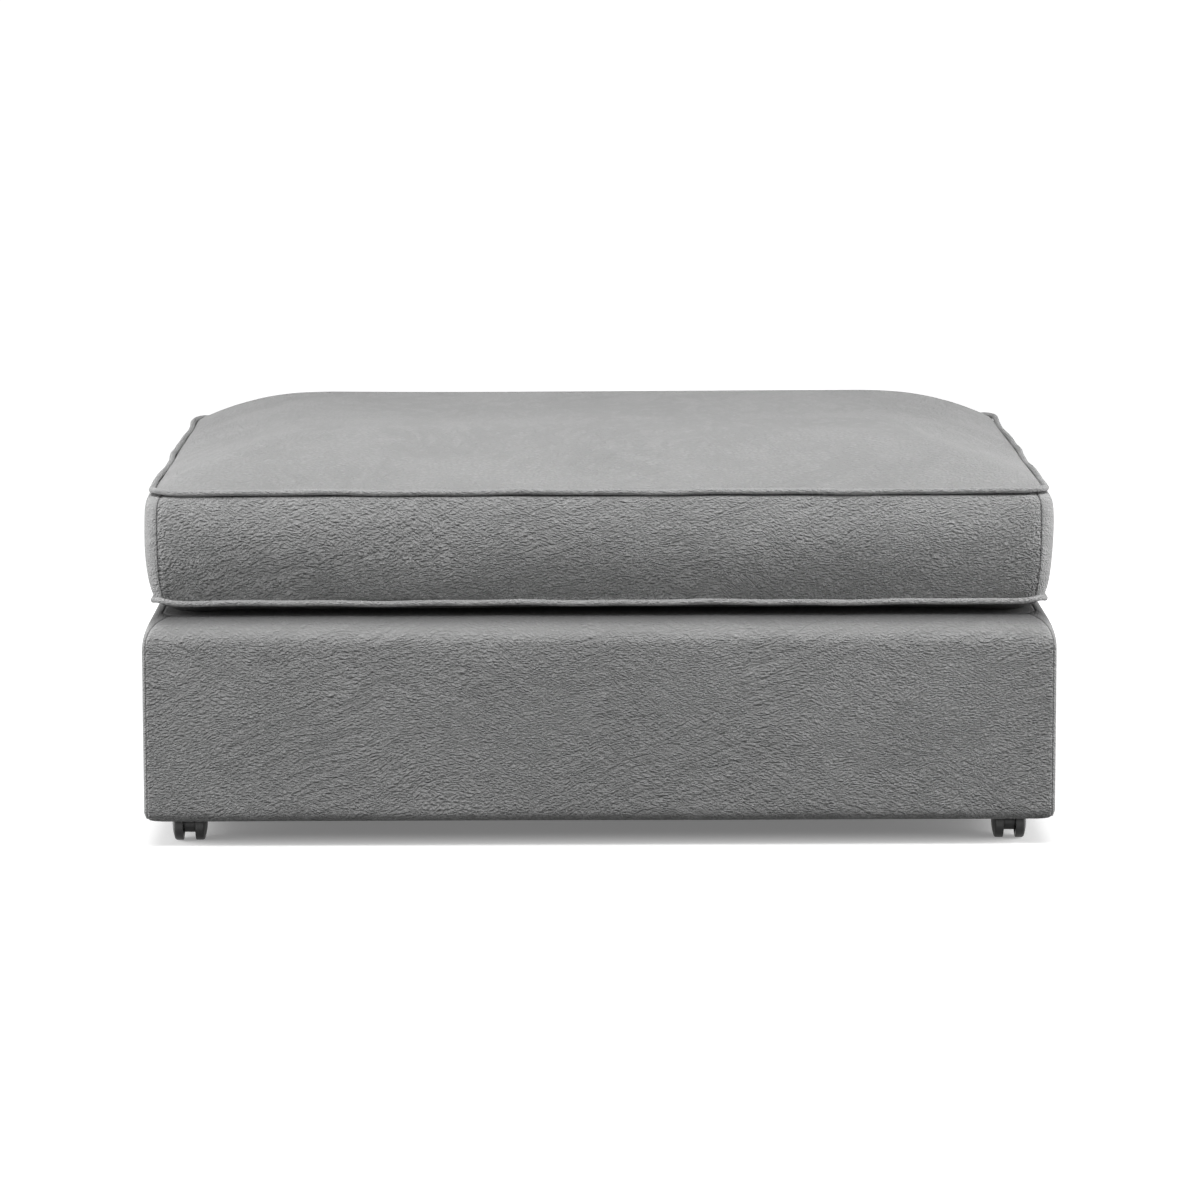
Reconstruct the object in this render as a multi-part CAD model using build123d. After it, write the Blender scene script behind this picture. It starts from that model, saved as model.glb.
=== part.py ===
from build123d import *
import math
import os

# A leather cocktail ottoman: a loose boxed cushion on an upholstered, sprung base with four casters.
# The origin is on the floor under the middle of the piece. +Z is up and the front faces -Y.

os.makedirs("parts", exist_ok=True)

# Overall size
overall_width = 1042.0
overall_depth = 790.0
overall_height = 460.0
base_bottom_height = 30.0
base_top_height = 266.0

# Fits and tools
seat_gap = 0.3
running_gap = 0.05
overrun = 20.0
quarter_turn = 90.0
half_turn = 180.0

# Outline of the covered base
hem_radius = 9.0
upright_corner_radius = 8.0
shoulder_radius = 63.0
shoulder_turn = 28.0
nose_radius = 16.0
panel_seam_set_in = 4.0
panel_seam_radius = 33.0

# Layers of the base walls
cover_thickness = 1.4
side_padding_thickness = 5.0
front_padding_thickness = 12.0
board_thickness = 3.0
board_lift = 2.5

# Hardwood frame
rail_thickness = 22.0
lower_rail_bottom = 54.0
lower_rail_height = 70.0
deck_build_up = 30.0
upper_rail_height = 60.0
post_width = 45.0
upright_width = 45.0
upright_offset = 160.0
stretcher_thickness = 22.0
caster_block_length = 90.0
caster_block_thickness = 22.0

# Deck springs and the layers above them
spring_count = 7
spring_edge_distance = 99.0
spring_width = 50.0
spring_pitch = 26.0
spring_wire_radius = 1.8
clip_length = 18.0
clip_wall = 1.2
clip_wire_gap = 0.1
clip_flange_length = 5.5
tie_wire_count = 3
tie_wire_spacing = 180.0
tie_wire_radius = 0.6
tie_wire_lap_length = 10.0
insulator_thickness = 2.5

# Underside
dust_cover_thickness = 0.8
dust_cover_margin = 3.0
staple_spacing = 48.0
staple_crown = 10.0
staple_wire = 0.8
staple_leg = 7.0
staple_edge_distance = 11.0

# Frame screws
rail_screw_radius = 2.1
rail_screw_length = 45.0
rail_screw_head_radius = 4.2
rail_screw_head_height = 2.5
lower_screw_height = 95.0
upper_screw_depth = 36.0
screw_height_step = 13.0

# Casters
caster_side_set_in = 49.0
caster_end_set_in = 68.0
caster_trail = 13.0
wheel_radius = 20.0
wheel_inner_face = 7.0
wheel_hub_gap = 0.6
wheel_cavity_floor = 13.0
wheel_hub_radius = 6.0
wheel_rim_wall = 4.5
tread_edge = 14.5
tread_round = 3.0
rim_round = 1.0
wheel_half_span = 20.2
web_half_thickness = 6.0
web_radius = 11.0
axle_radius = 2.5
axle_half_length = 15.7
axle_end_gap = 0.3
hood_gap = 1.5
hood_thickness = 2.5
hood_half_width = 18.5
hood_angle = 80.0
neck_radius = 9.0
neck_height = 6.4
plate_size = 38.0
plate_thickness = 2.5
plate_corner_radius = 4.0
plate_hole_offset = 14.0
plate_hole_radius = 1.9
kingpin_radius = 3.5
kingpin_collar_radius = 6.0
kingpin_collar_thickness = 0.5
kingpin_collar_gap = 0.1
kingpin_head_radius = 4.6
kingpin_head_thickness = 2.5
kingpin_bottom = 28.0
kingpin_pocket_gap = 0.3
caster_screw_radius = 1.6
caster_screw_head_radius = 3.3
caster_screw_head_height = 1.8
caster_screw_length = 14.0

# Cushion
cushion_side_set_back = 2.5
cushion_end_set_back = 3.5
piping_radius = 3.5
bottom_piping_lift = 15.0
crown_rise = 52.0
top_piping_set_back = 9.5
bottom_piping_set_back = 9.8
cushion_corner_radius = 20.0
panel_tuck = 1.0
crown_roll = 175.0
crown_power = 2.2
crown_corner_share = 0.35
crown_step_shares = (0.0, 0.1, 0.28, 0.52, 0.78, 1.0)
belly_roll = 36.0
belly_step_shares = (0.0, 0.3, 0.65, 1.0)
boxing_seam_set_back = 21.0
foam_set_back = 50.0
foam_corner_radius = 25.0
foam_lift = 10.0
foam_crown_depth = 35.0

# Zip in the rear boxing
zip_end_set_back = 91.0
zip_slot_half_height = 5.0
zip_tape_half_height = 11.0
zip_tape_thickness = 0.7
zip_tape_overlap = 6.0
zip_tape_gap = 0.6
zip_coil_half_height = 2.5
zip_coil_thickness = 1.6
zip_coil_gap = 0.4
slider_length = 9.0
slider_wall = 1.2
slider_end_distance = 35.0
crown_arch_length = 6.0
crown_arch_rise = 2.2
crown_arch_wall = 0.8
crown_arch_width = 1.6
pull_pin_radius = 0.4
pull_width = 5.0
pull_length = 18.0
pull_thickness = 0.9
pull_eye = 2.4

# Worked-out places
half_width = overall_width / 2
half_depth = overall_depth / 2
side_board_outer = half_width - cover_thickness - side_padding_thickness - 2 * seat_gap
end_board_outer = half_depth - cover_thickness - front_padding_thickness - 2 * seat_gap
frame_half_width = side_board_outer - board_thickness
frame_half_depth = end_board_outer - board_thickness
rail_inner_x = frame_half_width - rail_thickness
rail_inner_y = frame_half_depth - rail_thickness
spring_spacing = 2 * (rail_inner_x - spring_edge_distance) / (spring_count - 1)
caster_x = half_width - caster_side_set_in
caster_y = half_depth - caster_end_set_in
top_piping_height = overall_height - crown_rise
bottom_piping_height = base_top_height + bottom_piping_lift
foam_bottom = base_top_height + foam_lift
foam_top = overall_height - foam_crown_depth
zip_half_length = half_width - zip_end_set_back
slider_start = zip_half_length - slider_end_distance
upper_rail_top = base_top_height - deck_build_up
upper_screw_height = upper_rail_top - upper_screw_depth
board_bottom = base_bottom_height + board_lift
lower_rail_top = lower_rail_bottom + lower_rail_height
upper_rail_bottom = upper_rail_top - upper_rail_height
shoulder_sine = math.sin(math.radians(shoulder_turn))
shoulder_cosine = math.cos(math.radians(shoulder_turn))
shoulder_height = shoulder_radius * shoulder_sine + nose_radius * (1 - shoulder_sine)
shoulder_inset = shoulder_radius * (1 - shoulder_cosine) + nose_radius * shoulder_cosine
shoulder_start = base_top_height - shoulder_height
deck_half_width = half_width - shoulder_inset
deck_half_depth = half_depth - shoulder_inset
padding_inset = cover_thickness + seat_gap
clip_radius = spring_wire_radius + clip_wire_gap + clip_wall
spring_height = upper_rail_top + clip_radius
spring_anchor_y = frame_half_depth - rail_thickness / 2
insulator_bottom = spring_height + clip_radius + seat_gap
deck_foam_bottom = insulator_bottom + insulator_thickness + seat_gap
deck_foam_top = base_top_height - cover_thickness - seat_gap
plate_bottom = lower_rail_bottom - plate_thickness
housing_top = plate_bottom - kingpin_collar_thickness - kingpin_collar_gap

corners = {
    "front_left": (-caster_x, -caster_y),
    "front_right": (caster_x, -caster_y),
    "rear_left": (-caster_x, caster_y),
    "rear_right": (caster_x, caster_y),
}


def block(low, high):
    """Rectangular block between two opposite corners."""
    size = [b - a for a, b in zip(low, high)]
    centre = [(a + b) / 2 for a, b in zip(low, high)]
    return Pos(*centre) * Box(*size)


def save(name, *shapes):
    """Write one named piece, or a group of like pieces, as a file of its own."""
    solids = [solid for shape in shapes for solid in shape.solids()]
    whole = solids[0] if len(solids) == 1 else Compound(children=solids)
    export_step(whole, f"parts/{name}.step")


def mirror_x(shape):
    """The same piece on the other side of the YZ plane."""
    return mirror(shape, about=Plane.YZ)


def mirror_y(shape):
    """The same piece at the other end."""
    return mirror(shape, about=Plane.XZ)


def upright_rod(radius, bottom, top):
    """Round bar about the Z axis between two heights."""
    return Pos(0, 0, (bottom + top) / 2) * Cylinder(radius, top - bottom)


def cross_rod(radius, half_length):
    """Round bar along X, centred."""
    return Rot(0, quarter_turn, 0) * Cylinder(radius, 2 * half_length)


def base_outline(half_span, inset):
    """Outline of the base in a vertical plane: hems, soft shoulders and a flat deck."""
    side = half_span - inset
    bottom = base_bottom_height + inset
    hem = hem_radius - inset
    nose_turn = quarter_turn - shoulder_turn
    floor_line = Line((hem - side, bottom), (side - hem, bottom))
    right_hem = JernArc(floor_line @ 1, floor_line % 1, hem, quarter_turn)
    right_side = Line(right_hem @ 1, (side, shoulder_start))
    right_shoulder = JernArc(right_side @ 1, right_side % 1, shoulder_radius - inset, shoulder_turn)
    right_nose = JernArc(right_shoulder @ 1, right_shoulder % 1, nose_radius - inset, nose_turn)
    deck_end = right_nose @ 1
    deck_line = Line(deck_end, (-deck_end.X, deck_end.Y))
    left_nose = JernArc(deck_line @ 1, deck_line % 1, nose_radius - inset, nose_turn)
    left_shoulder = JernArc(left_nose @ 1, left_nose % 1, shoulder_radius - inset, shoulder_turn)
    left_side = Line(left_shoulder @ 1, (-side, bottom + hem))
    left_hem = JernArc(left_side @ 1, left_side % 1, hem, quarter_turn)
    return make_face(
        [floor_line, right_hem, right_side, right_shoulder, right_nose,
         deck_line, left_nose, left_shoulder, left_side, left_hem]
    )


def base_form(inset):
    """Outer form of the base, drawn in all round by the inset."""
    front_view = extrude(Plane.XZ * base_outline(half_width, inset), amount=overall_depth, both=True)
    end_view = extrude(Plane.YZ * base_outline(half_depth, inset), amount=overall_width, both=True)
    plan = RectangleRounded(
        overall_width - 2 * inset, overall_depth - 2 * inset, upright_corner_radius - inset
    )
    return front_view & end_view & extrude(plan, amount=overall_height)


def front_panel_zone():
    """Space of the front cover: inside its seam, from the front back to the deck."""
    seam_x = half_width - panel_seam_set_in
    arc_x = seam_x - panel_seam_radius
    above = base_top_height + overrun
    bottom = Line((-seam_x, 0), (seam_x, 0))
    right = Line(bottom @ 1, (seam_x, base_top_height - panel_seam_radius))
    right_arc = JernArc(right @ 1, right % 1, panel_seam_radius, quarter_turn)
    right_rise = Line(right_arc @ 1, (arc_x, above))
    top = Line(right_rise @ 1, (-arc_x, above))
    left_rise = Line(top @ 1, (-arc_x, base_top_height))
    left_arc = JernArc(left_rise @ 1, (-1, 0), panel_seam_radius, quarter_turn)
    left = Line(left_arc @ 1, bottom @ 0)
    outline = make_face([bottom, right, right_arc, right_rise, top, left_rise, left_arc, left])
    start = Plane.XZ.offset(deck_half_depth)
    return extrude(start * outline, amount=shoulder_inset + overrun)


def make_covers():
    """Leather covers: front and rear panels, two sides and the deck."""
    underside = block(
        (-frame_half_width, -frame_half_depth, base_bottom_height - overrun),
        (frame_half_width, frame_half_depth, base_bottom_height + cover_thickness + overrun),
    )
    shell = base_form(0) - base_form(cover_thickness) - underside
    front_zone = front_panel_zone()
    rear_zone = mirror_y(front_zone)
    deck_zone = block(
        (-deck_half_width, -deck_half_depth, shoulder_start),
        (deck_half_width, deck_half_depth, base_top_height + overrun),
    )
    right_half = block(
        (0, -overall_depth, -overrun), (overall_width, overall_depth, overall_height)
    )
    rear_cover = shell & rear_zone
    save("rear_cover", rear_cover)
    save("front_cover", Rot(0, 0, half_turn) * rear_cover)
    save("deck_cover", shell & deck_zone)
    sides = shell - front_zone - rear_zone - deck_zone
    right_cover = sides & right_half
    save("right_cover", right_cover)
    save("left_cover", mirror_x(right_cover))


def make_padding():
    """Foam over the boards, carried over the rails to the edge of the deck."""
    form = base_form(padding_inset)
    rail_clear = upper_rail_top + seat_gap
    board_x = side_board_outer + seat_gap
    board_y = end_board_outer + seat_gap
    side_wall = block(
        (board_x, -end_board_outer, 0), (half_width, end_board_outer, rail_clear)
    )
    side_roll = block(
        (deck_half_width + seat_gap, -half_depth, rail_clear), (half_width, half_depth, overall_height)
    )
    right_padding = form & (side_wall + side_roll)
    save("right_padding", right_padding)
    save("left_padding", mirror_x(right_padding))
    end_wall = block((-half_width, board_y, 0), (half_width, half_depth, upper_rail_top))
    end_rise = block((-deck_half_width, board_y, 0), (deck_half_width, half_depth, overall_height))
    end_roll = block(
        (-deck_half_width, deck_half_depth + seat_gap, rail_clear),
        (deck_half_width, half_depth, overall_height),
    )
    rear_padding = form & (end_wall + end_rise + end_roll)
    save("rear_padding", rear_padding)
    save("front_padding", mirror_y(rear_padding))


def make_boards():
    """Thin boards that close the frame and hang below it as a skirt round the casters."""
    right_board = block(
        (frame_half_width, -frame_half_depth, board_bottom),
        (side_board_outer, frame_half_depth, upper_rail_top),
    )
    rear_board = block(
        (-side_board_outer, frame_half_depth, board_bottom),
        (side_board_outer, end_board_outer, upper_rail_top),
    )
    save("right_board", right_board)
    save("left_board", mirror_x(right_board))
    save("rear_board", rear_board)
    save("front_board", mirror_y(rear_board))


def rail_set(bottom, top):
    """Two long and two short rails between the same two heights."""
    long_rail = block(
        (-frame_half_width, rail_inner_y, bottom), (frame_half_width, frame_half_depth, top)
    )
    short_rail = block((rail_inner_x, -rail_inner_y, bottom), (frame_half_width, rail_inner_y, top))
    return [long_rail, mirror_y(long_rail), short_rail, mirror_x(short_rail)]


def at_four_corners(shape):
    """A piece drawn at the rear right corner, and its three mirror images."""
    right_pair = [shape, mirror_y(shape)]
    return right_pair + [mirror_x(each) for each in right_pair]


def make_frame():
    """Hardwood rails, posts, uprights, stretcher and the blocks that carry the casters."""
    save("lower_rails", *rail_set(lower_rail_bottom, lower_rail_top))
    save("upper_rails", *rail_set(upper_rail_bottom, upper_rail_top))
    block_top = lower_rail_bottom + caster_block_thickness
    post = block(
        (rail_inner_x - post_width, rail_inner_y - post_width, block_top),
        (rail_inner_x, rail_inner_y, upper_rail_top),
    )
    save("corner_posts", *at_four_corners(post))
    caster_block = block(
        (rail_inner_x - caster_block_length, rail_inner_y - caster_block_length, lower_rail_bottom),
        (rail_inner_x, rail_inner_y, block_top),
    )
    save("caster_blocks", *at_four_corners(caster_block))
    end_upright = block(
        (upright_offset - upright_width / 2, rail_inner_y, lower_rail_top),
        (upright_offset + upright_width / 2, frame_half_depth, upper_rail_bottom),
    )
    side_upright = block(
        (rail_inner_x, -upright_width / 2, lower_rail_top),
        (frame_half_width, upright_width / 2, upper_rail_bottom),
    )
    save("rail_uprights", *at_four_corners(end_upright), side_upright, mirror_x(side_upright))
    save(
        "centre_stretcher",
        block(
            (-stretcher_thickness / 2, -rail_inner_y, lower_rail_bottom),
            (stretcher_thickness / 2, rail_inner_y, lower_rail_top),
        ),
    )


def rail_screw(heading):
    """Countersunk screw along +X or +Y from the outside of a rail, head at the origin."""
    shank = Pos(0, 0, rail_screw_length / 2) * Cylinder(rail_screw_radius, rail_screw_length)
    head = Pos(0, 0, rail_screw_head_height / 2) * Cone(
        rail_screw_head_radius, rail_screw_radius, rail_screw_head_height
    )
    turn = Rot(0, -quarter_turn, 0) if heading == "x" else Rot(quarter_turn, 0, 0)
    return turn * (shank + head)


def make_rail_screws():
    """Screws through the rails into the corner posts."""
    post_x = rail_inner_x - post_width / 2
    post_y = rail_inner_y - post_width / 2
    screws = []
    for height in (lower_screw_height, upper_screw_height):
        screws += at_four_corners(Pos(post_x, frame_half_depth, height) * rail_screw("y"))
        side_height = height + screw_height_step
        screws += at_four_corners(Pos(frame_half_width, post_y, side_height) * rail_screw("x"))
    save("rail_screws", *screws)


def zigzag_spring():
    """One flat sinuous spring about x = 0: bars across, joined by half rings."""
    reach = 2 * spring_anchor_y
    steps = 2 * round(reach / spring_pitch / 2)
    pitch = reach / steps
    bar_end = spring_width / 2 - pitch / 2
    bar = cross_rod(spring_wire_radius, bar_end)
    ring_section = Plane(origin=(pitch / 2, 0, 0), z_dir=(0, 1, 0)) * Circle(spring_wire_radius)
    half_ring = revolve(ring_section, axis=Axis.Z, revolution_arc=half_turn)
    pieces = []
    for step in range(steps + 1):
        pieces.append(Pos(0, step * pitch - spring_anchor_y, 0) * bar)
    for step in range(steps):
        side = -1 if step % 2 else 1
        y = (step + 1 / 2) * pitch - spring_anchor_y
        pieces.append(Pos(side * bar_end, y, 0) * Rot(0, 0, -side * quarter_turn) * half_ring)
    return Pos(0, 0, spring_height) * pieces[0].fuse(*pieces[1:])


def make_springs():
    """Sinuous springs from rail to rail, their clips and the wires that tie them."""
    spring = zigzag_spring()
    places = [(number - (spring_count - 1) / 2) * spring_spacing for number in range(spring_count)]
    save("sinuous_springs", *[Pos(x, 0, 0) * spring for x in places])
    bore = cross_rod(spring_wire_radius + clip_wire_gap, clip_length)
    barrel = cross_rod(clip_radius, clip_length / 2)
    flange = block(
        (-clip_length / 2, 0, -clip_radius),
        (clip_length / 2, clip_flange_length, clip_wall - clip_radius),
    )
    clip = Pos(0, spring_anchor_y, spring_height) * (barrel + flange - bore)
    clips = [Pos(x, 0, 0) * each for x in places for each in (clip, mirror_y(clip))]
    save("spring_clips", *clips)
    wire = cross_rod(tie_wire_radius, rail_inner_x + tie_wire_lap_length)
    wire_height = upper_rail_top + tie_wire_radius
    wires = []
    for number in range(tie_wire_count):
        y = (number - (tie_wire_count - 1) / 2) * tie_wire_spacing
        wires.append(Pos(0, y, wire_height) * wire)
    save("tie_wires", *wires)


def make_deck():
    """Felt insulator and foam between the springs and the deck cover."""
    reach_x = deck_half_width - seat_gap
    reach_y = deck_half_depth - seat_gap
    save(
        "deck_insulator",
        block(
            (-reach_x, -reach_y, insulator_bottom),
            (reach_x, reach_y, insulator_bottom + insulator_thickness),
        ),
    )
    save(
        "deck_foam",
        block((-reach_x, -reach_y, deck_foam_bottom), (reach_x, reach_y, deck_foam_top)),
    )


def staple():
    """One staple seen from below: its crown under the cloth and two legs in the wood."""
    crown = block(
        (-staple_crown / 2, -staple_wire / 2, -staple_wire), (staple_crown / 2, staple_wire / 2, 0)
    )
    leg = block(
        (staple_crown / 2 - staple_wire, -staple_wire / 2, 0),
        (staple_crown / 2, staple_wire / 2, staple_leg),
    )
    return crown + leg + mirror_x(leg)


def make_underside():
    """Dust cover under the frame, cut out round the caster plates, and its staples."""
    cloth_x = frame_half_width - seat_gap
    cloth_y = frame_half_depth - seat_gap
    cloth_bottom = lower_rail_bottom - dust_cover_thickness
    cloth = block((-cloth_x, -cloth_y, cloth_bottom), (cloth_x, cloth_y, lower_rail_bottom))
    window = plate_size / 2 + dust_cover_margin
    for x, y in corners.values():
        cloth -= block(
            (x - window, y - window, cloth_bottom - overrun),
            (x + window, y + window, lower_rail_bottom + overrun),
        )
    save("dust_cover", cloth)
    row_y = frame_half_depth - staple_edge_distance
    row_x = frame_half_width - staple_edge_distance
    long_reach = caster_x - plate_size
    short_reach = caster_y - plate_size
    long_steps = round(2 * long_reach / staple_spacing)
    short_steps = round(2 * short_reach / staple_spacing)
    one = staple()
    staples = []
    for step in range(long_steps + 1):
        x = -long_reach + step * 2 * long_reach / long_steps
        staples += [Pos(x, y, cloth_bottom) * one for y in (-row_y, row_y)]
    for step in range(short_steps + 1):
        y = -short_reach + step * 2 * short_reach / short_steps
        turned = Rot(0, 0, quarter_turn) * one
        staples += [Pos(x, y, cloth_bottom) * turned for x in (-row_x, row_x)]
    save("staples", *staples)


def caster_plate():
    """Square steel plate with four screw holes and a seat for the kingpin."""
    plate = extrude(RectangleRounded(plate_size, plate_size, plate_corner_radius), plate_thickness)
    plate = Pos(0, 0, plate_bottom) * plate
    plate -= upright_rod(kingpin_radius + running_gap, 0, overall_height)
    for x in (-plate_hole_offset, plate_hole_offset):
        for y in (-plate_hole_offset, plate_hole_offset):
            plate -= Pos(x, y, 0) * upright_rod(plate_hole_radius, 0, overall_height)
    return plate


def kingpin():
    """Rivet that hangs from the plate and carries the swivelling housing."""
    shank = upright_rod(kingpin_radius, kingpin_bottom, lower_rail_bottom)
    collar = upright_rod(kingpin_collar_radius, plate_bottom - kingpin_collar_thickness, plate_bottom)
    head = upright_rod(
        kingpin_head_radius, kingpin_bottom, kingpin_bottom + kingpin_head_thickness
    )
    return shank + collar + head


def caster_screw():
    """Pan-head wood screw, driven up through the plate."""
    shank = upright_rod(caster_screw_radius, plate_bottom, plate_bottom + caster_screw_length)
    head = upright_rod(
        caster_screw_head_radius, plate_bottom - caster_screw_head_height, plate_bottom
    )
    return shank + head


def caster_housing():
    """Moulded body between the wheels: web, swivel neck and a hood over the treads."""
    web = Rot(0, quarter_turn, 0) * Cylinder(web_radius, 2 * web_half_thickness)
    web = Pos(0, -caster_trail, wheel_radius) * web
    hood_inner = wheel_radius + hood_gap
    hood_outer = hood_inner + hood_thickness
    column = block(
        (-web_half_thickness, -caster_trail, wheel_radius),
        (web_half_thickness, 0, wheel_radius + hood_outer - seat_gap),
    )
    boss = upright_rod(web_half_thickness, kingpin_bottom - seat_gap, housing_top)
    neck = upright_rod(neck_radius, housing_top - neck_height, housing_top)
    hood_side = Plane.YZ * (
        Pos(-caster_trail, wheel_radius)
        * make_face(
            [
                CenterArc((0, 0), hood_outer, quarter_turn - hood_angle / 2, hood_angle),
                CenterArc((0, 0), hood_inner, quarter_turn - hood_angle / 2, hood_angle),
                Line(
                    Vector(hood_inner, 0).rotate(Axis.Z, quarter_turn - hood_angle / 2),
                    Vector(hood_outer, 0).rotate(Axis.Z, quarter_turn - hood_angle / 2),
                ),
                Line(
                    Vector(hood_inner, 0).rotate(Axis.Z, quarter_turn + hood_angle / 2),
                    Vector(hood_outer, 0).rotate(Axis.Z, quarter_turn + hood_angle / 2),
                ),
            ]
        )
    )
    hood = extrude(hood_side, amount=hood_half_width, both=True)
    pocket_top = kingpin_bottom + kingpin_head_thickness + kingpin_pocket_gap
    pocket = upright_rod(kingpin_head_radius + kingpin_pocket_gap, 0, pocket_top)
    bore = upright_rod(kingpin_radius + running_gap, 0, overall_height)
    axle_bore = Pos(0, -caster_trail, wheel_radius) * cross_rod(
        axle_radius + running_gap, wheel_half_span
    )
    return web + column + boss + neck + hood - pocket - bore - axle_bore


def caster_wheel():
    """Wheel on the +X side: hollow towards the housing, domed on the outside."""
    bore_radius = axle_radius + running_gap
    hub_face = web_half_thickness + wheel_hub_gap
    rim_inner = wheel_radius - wheel_rim_wall
    dome_start = tread_edge + tread_round
    dome_edge = wheel_radius - tread_round
    dome_rise = wheel_half_span - dome_start
    dome_radius = (dome_edge**2 + dome_rise**2) / (2 * dome_rise)
    dome_angle = math.degrees(math.asin(dome_edge / dome_radius))
    bore_end = axle_half_length + axle_end_gap
    inside = Polyline(
        (bore_end, 0),
        (bore_end, bore_radius),
        (hub_face, bore_radius),
        (hub_face, wheel_hub_radius),
        (wheel_cavity_floor, wheel_hub_radius),
        (wheel_cavity_floor, rim_inner),
        (wheel_inner_face, rim_inner),
        (wheel_inner_face, wheel_radius - rim_round),
    )
    inner_round = JernArc(inside @ 1, (0, 1), rim_round, -quarter_turn)
    tread = Line(inner_round @ 1, (tread_edge, wheel_radius))
    outer_round = JernArc(tread @ 1, (1, 0), tread_round, -quarter_turn)
    dome = CenterArc((wheel_half_span - dome_radius, 0), dome_radius, 0, dome_angle)
    axis_line = Line(dome @ 0, inside @ 0)
    profile = make_face([inside, inner_round, tread, outer_round, dome, axis_line])
    wheel = revolve(profile, axis=Axis.X)
    return Pos(0, -caster_trail, wheel_radius) * wheel


def make_casters():
    """Four twin-wheel casters with their plates, kingpins, screws, axles and wheels."""
    plate = caster_plate()
    pin = kingpin()
    screw = caster_screw()
    housing = caster_housing()
    axle = Pos(0, -caster_trail, wheel_radius) * cross_rod(axle_radius, axle_half_length)
    right_wheel = caster_wheel()
    left_wheel = mirror_x(right_wheel)
    offsets = (-plate_hole_offset, plate_hole_offset)
    places = [Pos(x, y, 0) for x, y in corners.values()]
    save("caster_plates", *[place * plate for place in places])
    save("caster_kingpins", *[place * pin for place in places])
    save(
        "caster_screws",
        *[place * Pos(x, y, 0) * screw for place in places for x in offsets for y in offsets],
    )
    for name, (x, y) in corners.items():
        save(f"caster_housing_{name}", Pos(x, y, 0) * housing)
        save(f"caster_axle_{name}", Pos(x, y, 0) * axle)
        save(f"caster_wheel_{name}_a", Pos(x, y, 0) * left_wheel)
        save(f"caster_wheel_{name}_b", Pos(x, y, 0) * right_wheel)


def stacked_form(sections):
    """Smooth solid through level rounded rectangles: half width, half depth, radius, height."""
    faces = [
        Pos(0, 0, height) * RectangleRounded(2 * across, 2 * along, radius)
        for across, along, radius, height in sections
    ]
    return loft(faces)


top_piping_x = half_width - top_piping_set_back - cushion_side_set_back + seat_gap
top_piping_y = half_depth - top_piping_set_back - cushion_end_set_back + seat_gap
bottom_piping_x = half_width - bottom_piping_set_back - cushion_side_set_back + seat_gap
bottom_piping_y = half_depth - bottom_piping_set_back - cushion_end_set_back + seat_gap
piping_clear = piping_radius + seat_gap


def crown_form(inset):
    """Crowned top of the cushion, rolling up from the piping to a flat middle."""
    base = top_piping_height + piping_clear
    rise = overall_height - base
    sections = []
    for share in crown_step_shares:
        roll = crown_roll * share
        height = base + rise * (1 - (1 - share) ** crown_power)
        sections.append(
            (
                top_piping_x - panel_tuck - inset - roll,
                top_piping_y - panel_tuck - inset - roll,
                cushion_corner_radius - inset + crown_corner_share * roll,
                height - inset if share else base,
            )
        )
    return stacked_form(sections)


def belly_form(inset):
    """Underside of the cushion, rolling down to the flat that rests on the deck."""
    base = bottom_piping_height - piping_clear
    drop = base - base_top_height - seat_gap
    sections = []
    for share in belly_step_shares:
        roll = belly_roll * share
        height = base - drop * (1 - (1 - share) ** crown_power)
        sections.append(
            (
                bottom_piping_x - panel_tuck - inset - roll,
                bottom_piping_y - panel_tuck - inset - roll,
                cushion_corner_radius - inset + crown_corner_share * roll,
                height + inset if share else base,
            )
        )
    return stacked_form(sections)


def boxing_form(inset):
    """Band between the pipings, bulging to the full width at half its height."""
    bottom = bottom_piping_height + piping_clear
    top = top_piping_height - piping_clear
    radius = cushion_corner_radius - inset
    middle = (bottom + top) / 2
    side_x = half_width - cushion_side_set_back - inset
    side_y = half_depth - cushion_end_set_back - inset
    return stacked_form(
        [
            (bottom_piping_x - inset, bottom_piping_y - inset, radius, bottom),
            (side_x, side_y, radius, middle),
            (top_piping_x - inset, top_piping_y - inset, radius, top),
        ]
    )


def make_piping(name, across, along, height):
    """Covered cord sewn into the seam all round the cushion."""
    plan = Pos(0, 0, height) * RectangleRounded(2 * across, 2 * along, cushion_corner_radius)
    path = plan.wire()
    section = Plane(path @ 0, z_dir=path % 0) * Circle(piping_radius)
    save(name, sweep(section, path=path))


zip_height = (bottom_piping_height + top_piping_height) / 2
zip_skin_inner = half_depth - cushion_end_set_back - cover_thickness
zip_tape_outer = zip_skin_inner - zip_tape_gap
zip_tape_inner = zip_tape_outer - zip_tape_thickness
zip_coil_outer = zip_tape_outer + zip_coil_thickness
slider_half_height = zip_coil_half_height + zip_coil_gap + slider_wall
slider_face = zip_coil_outer + zip_coil_gap + slider_wall


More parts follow.
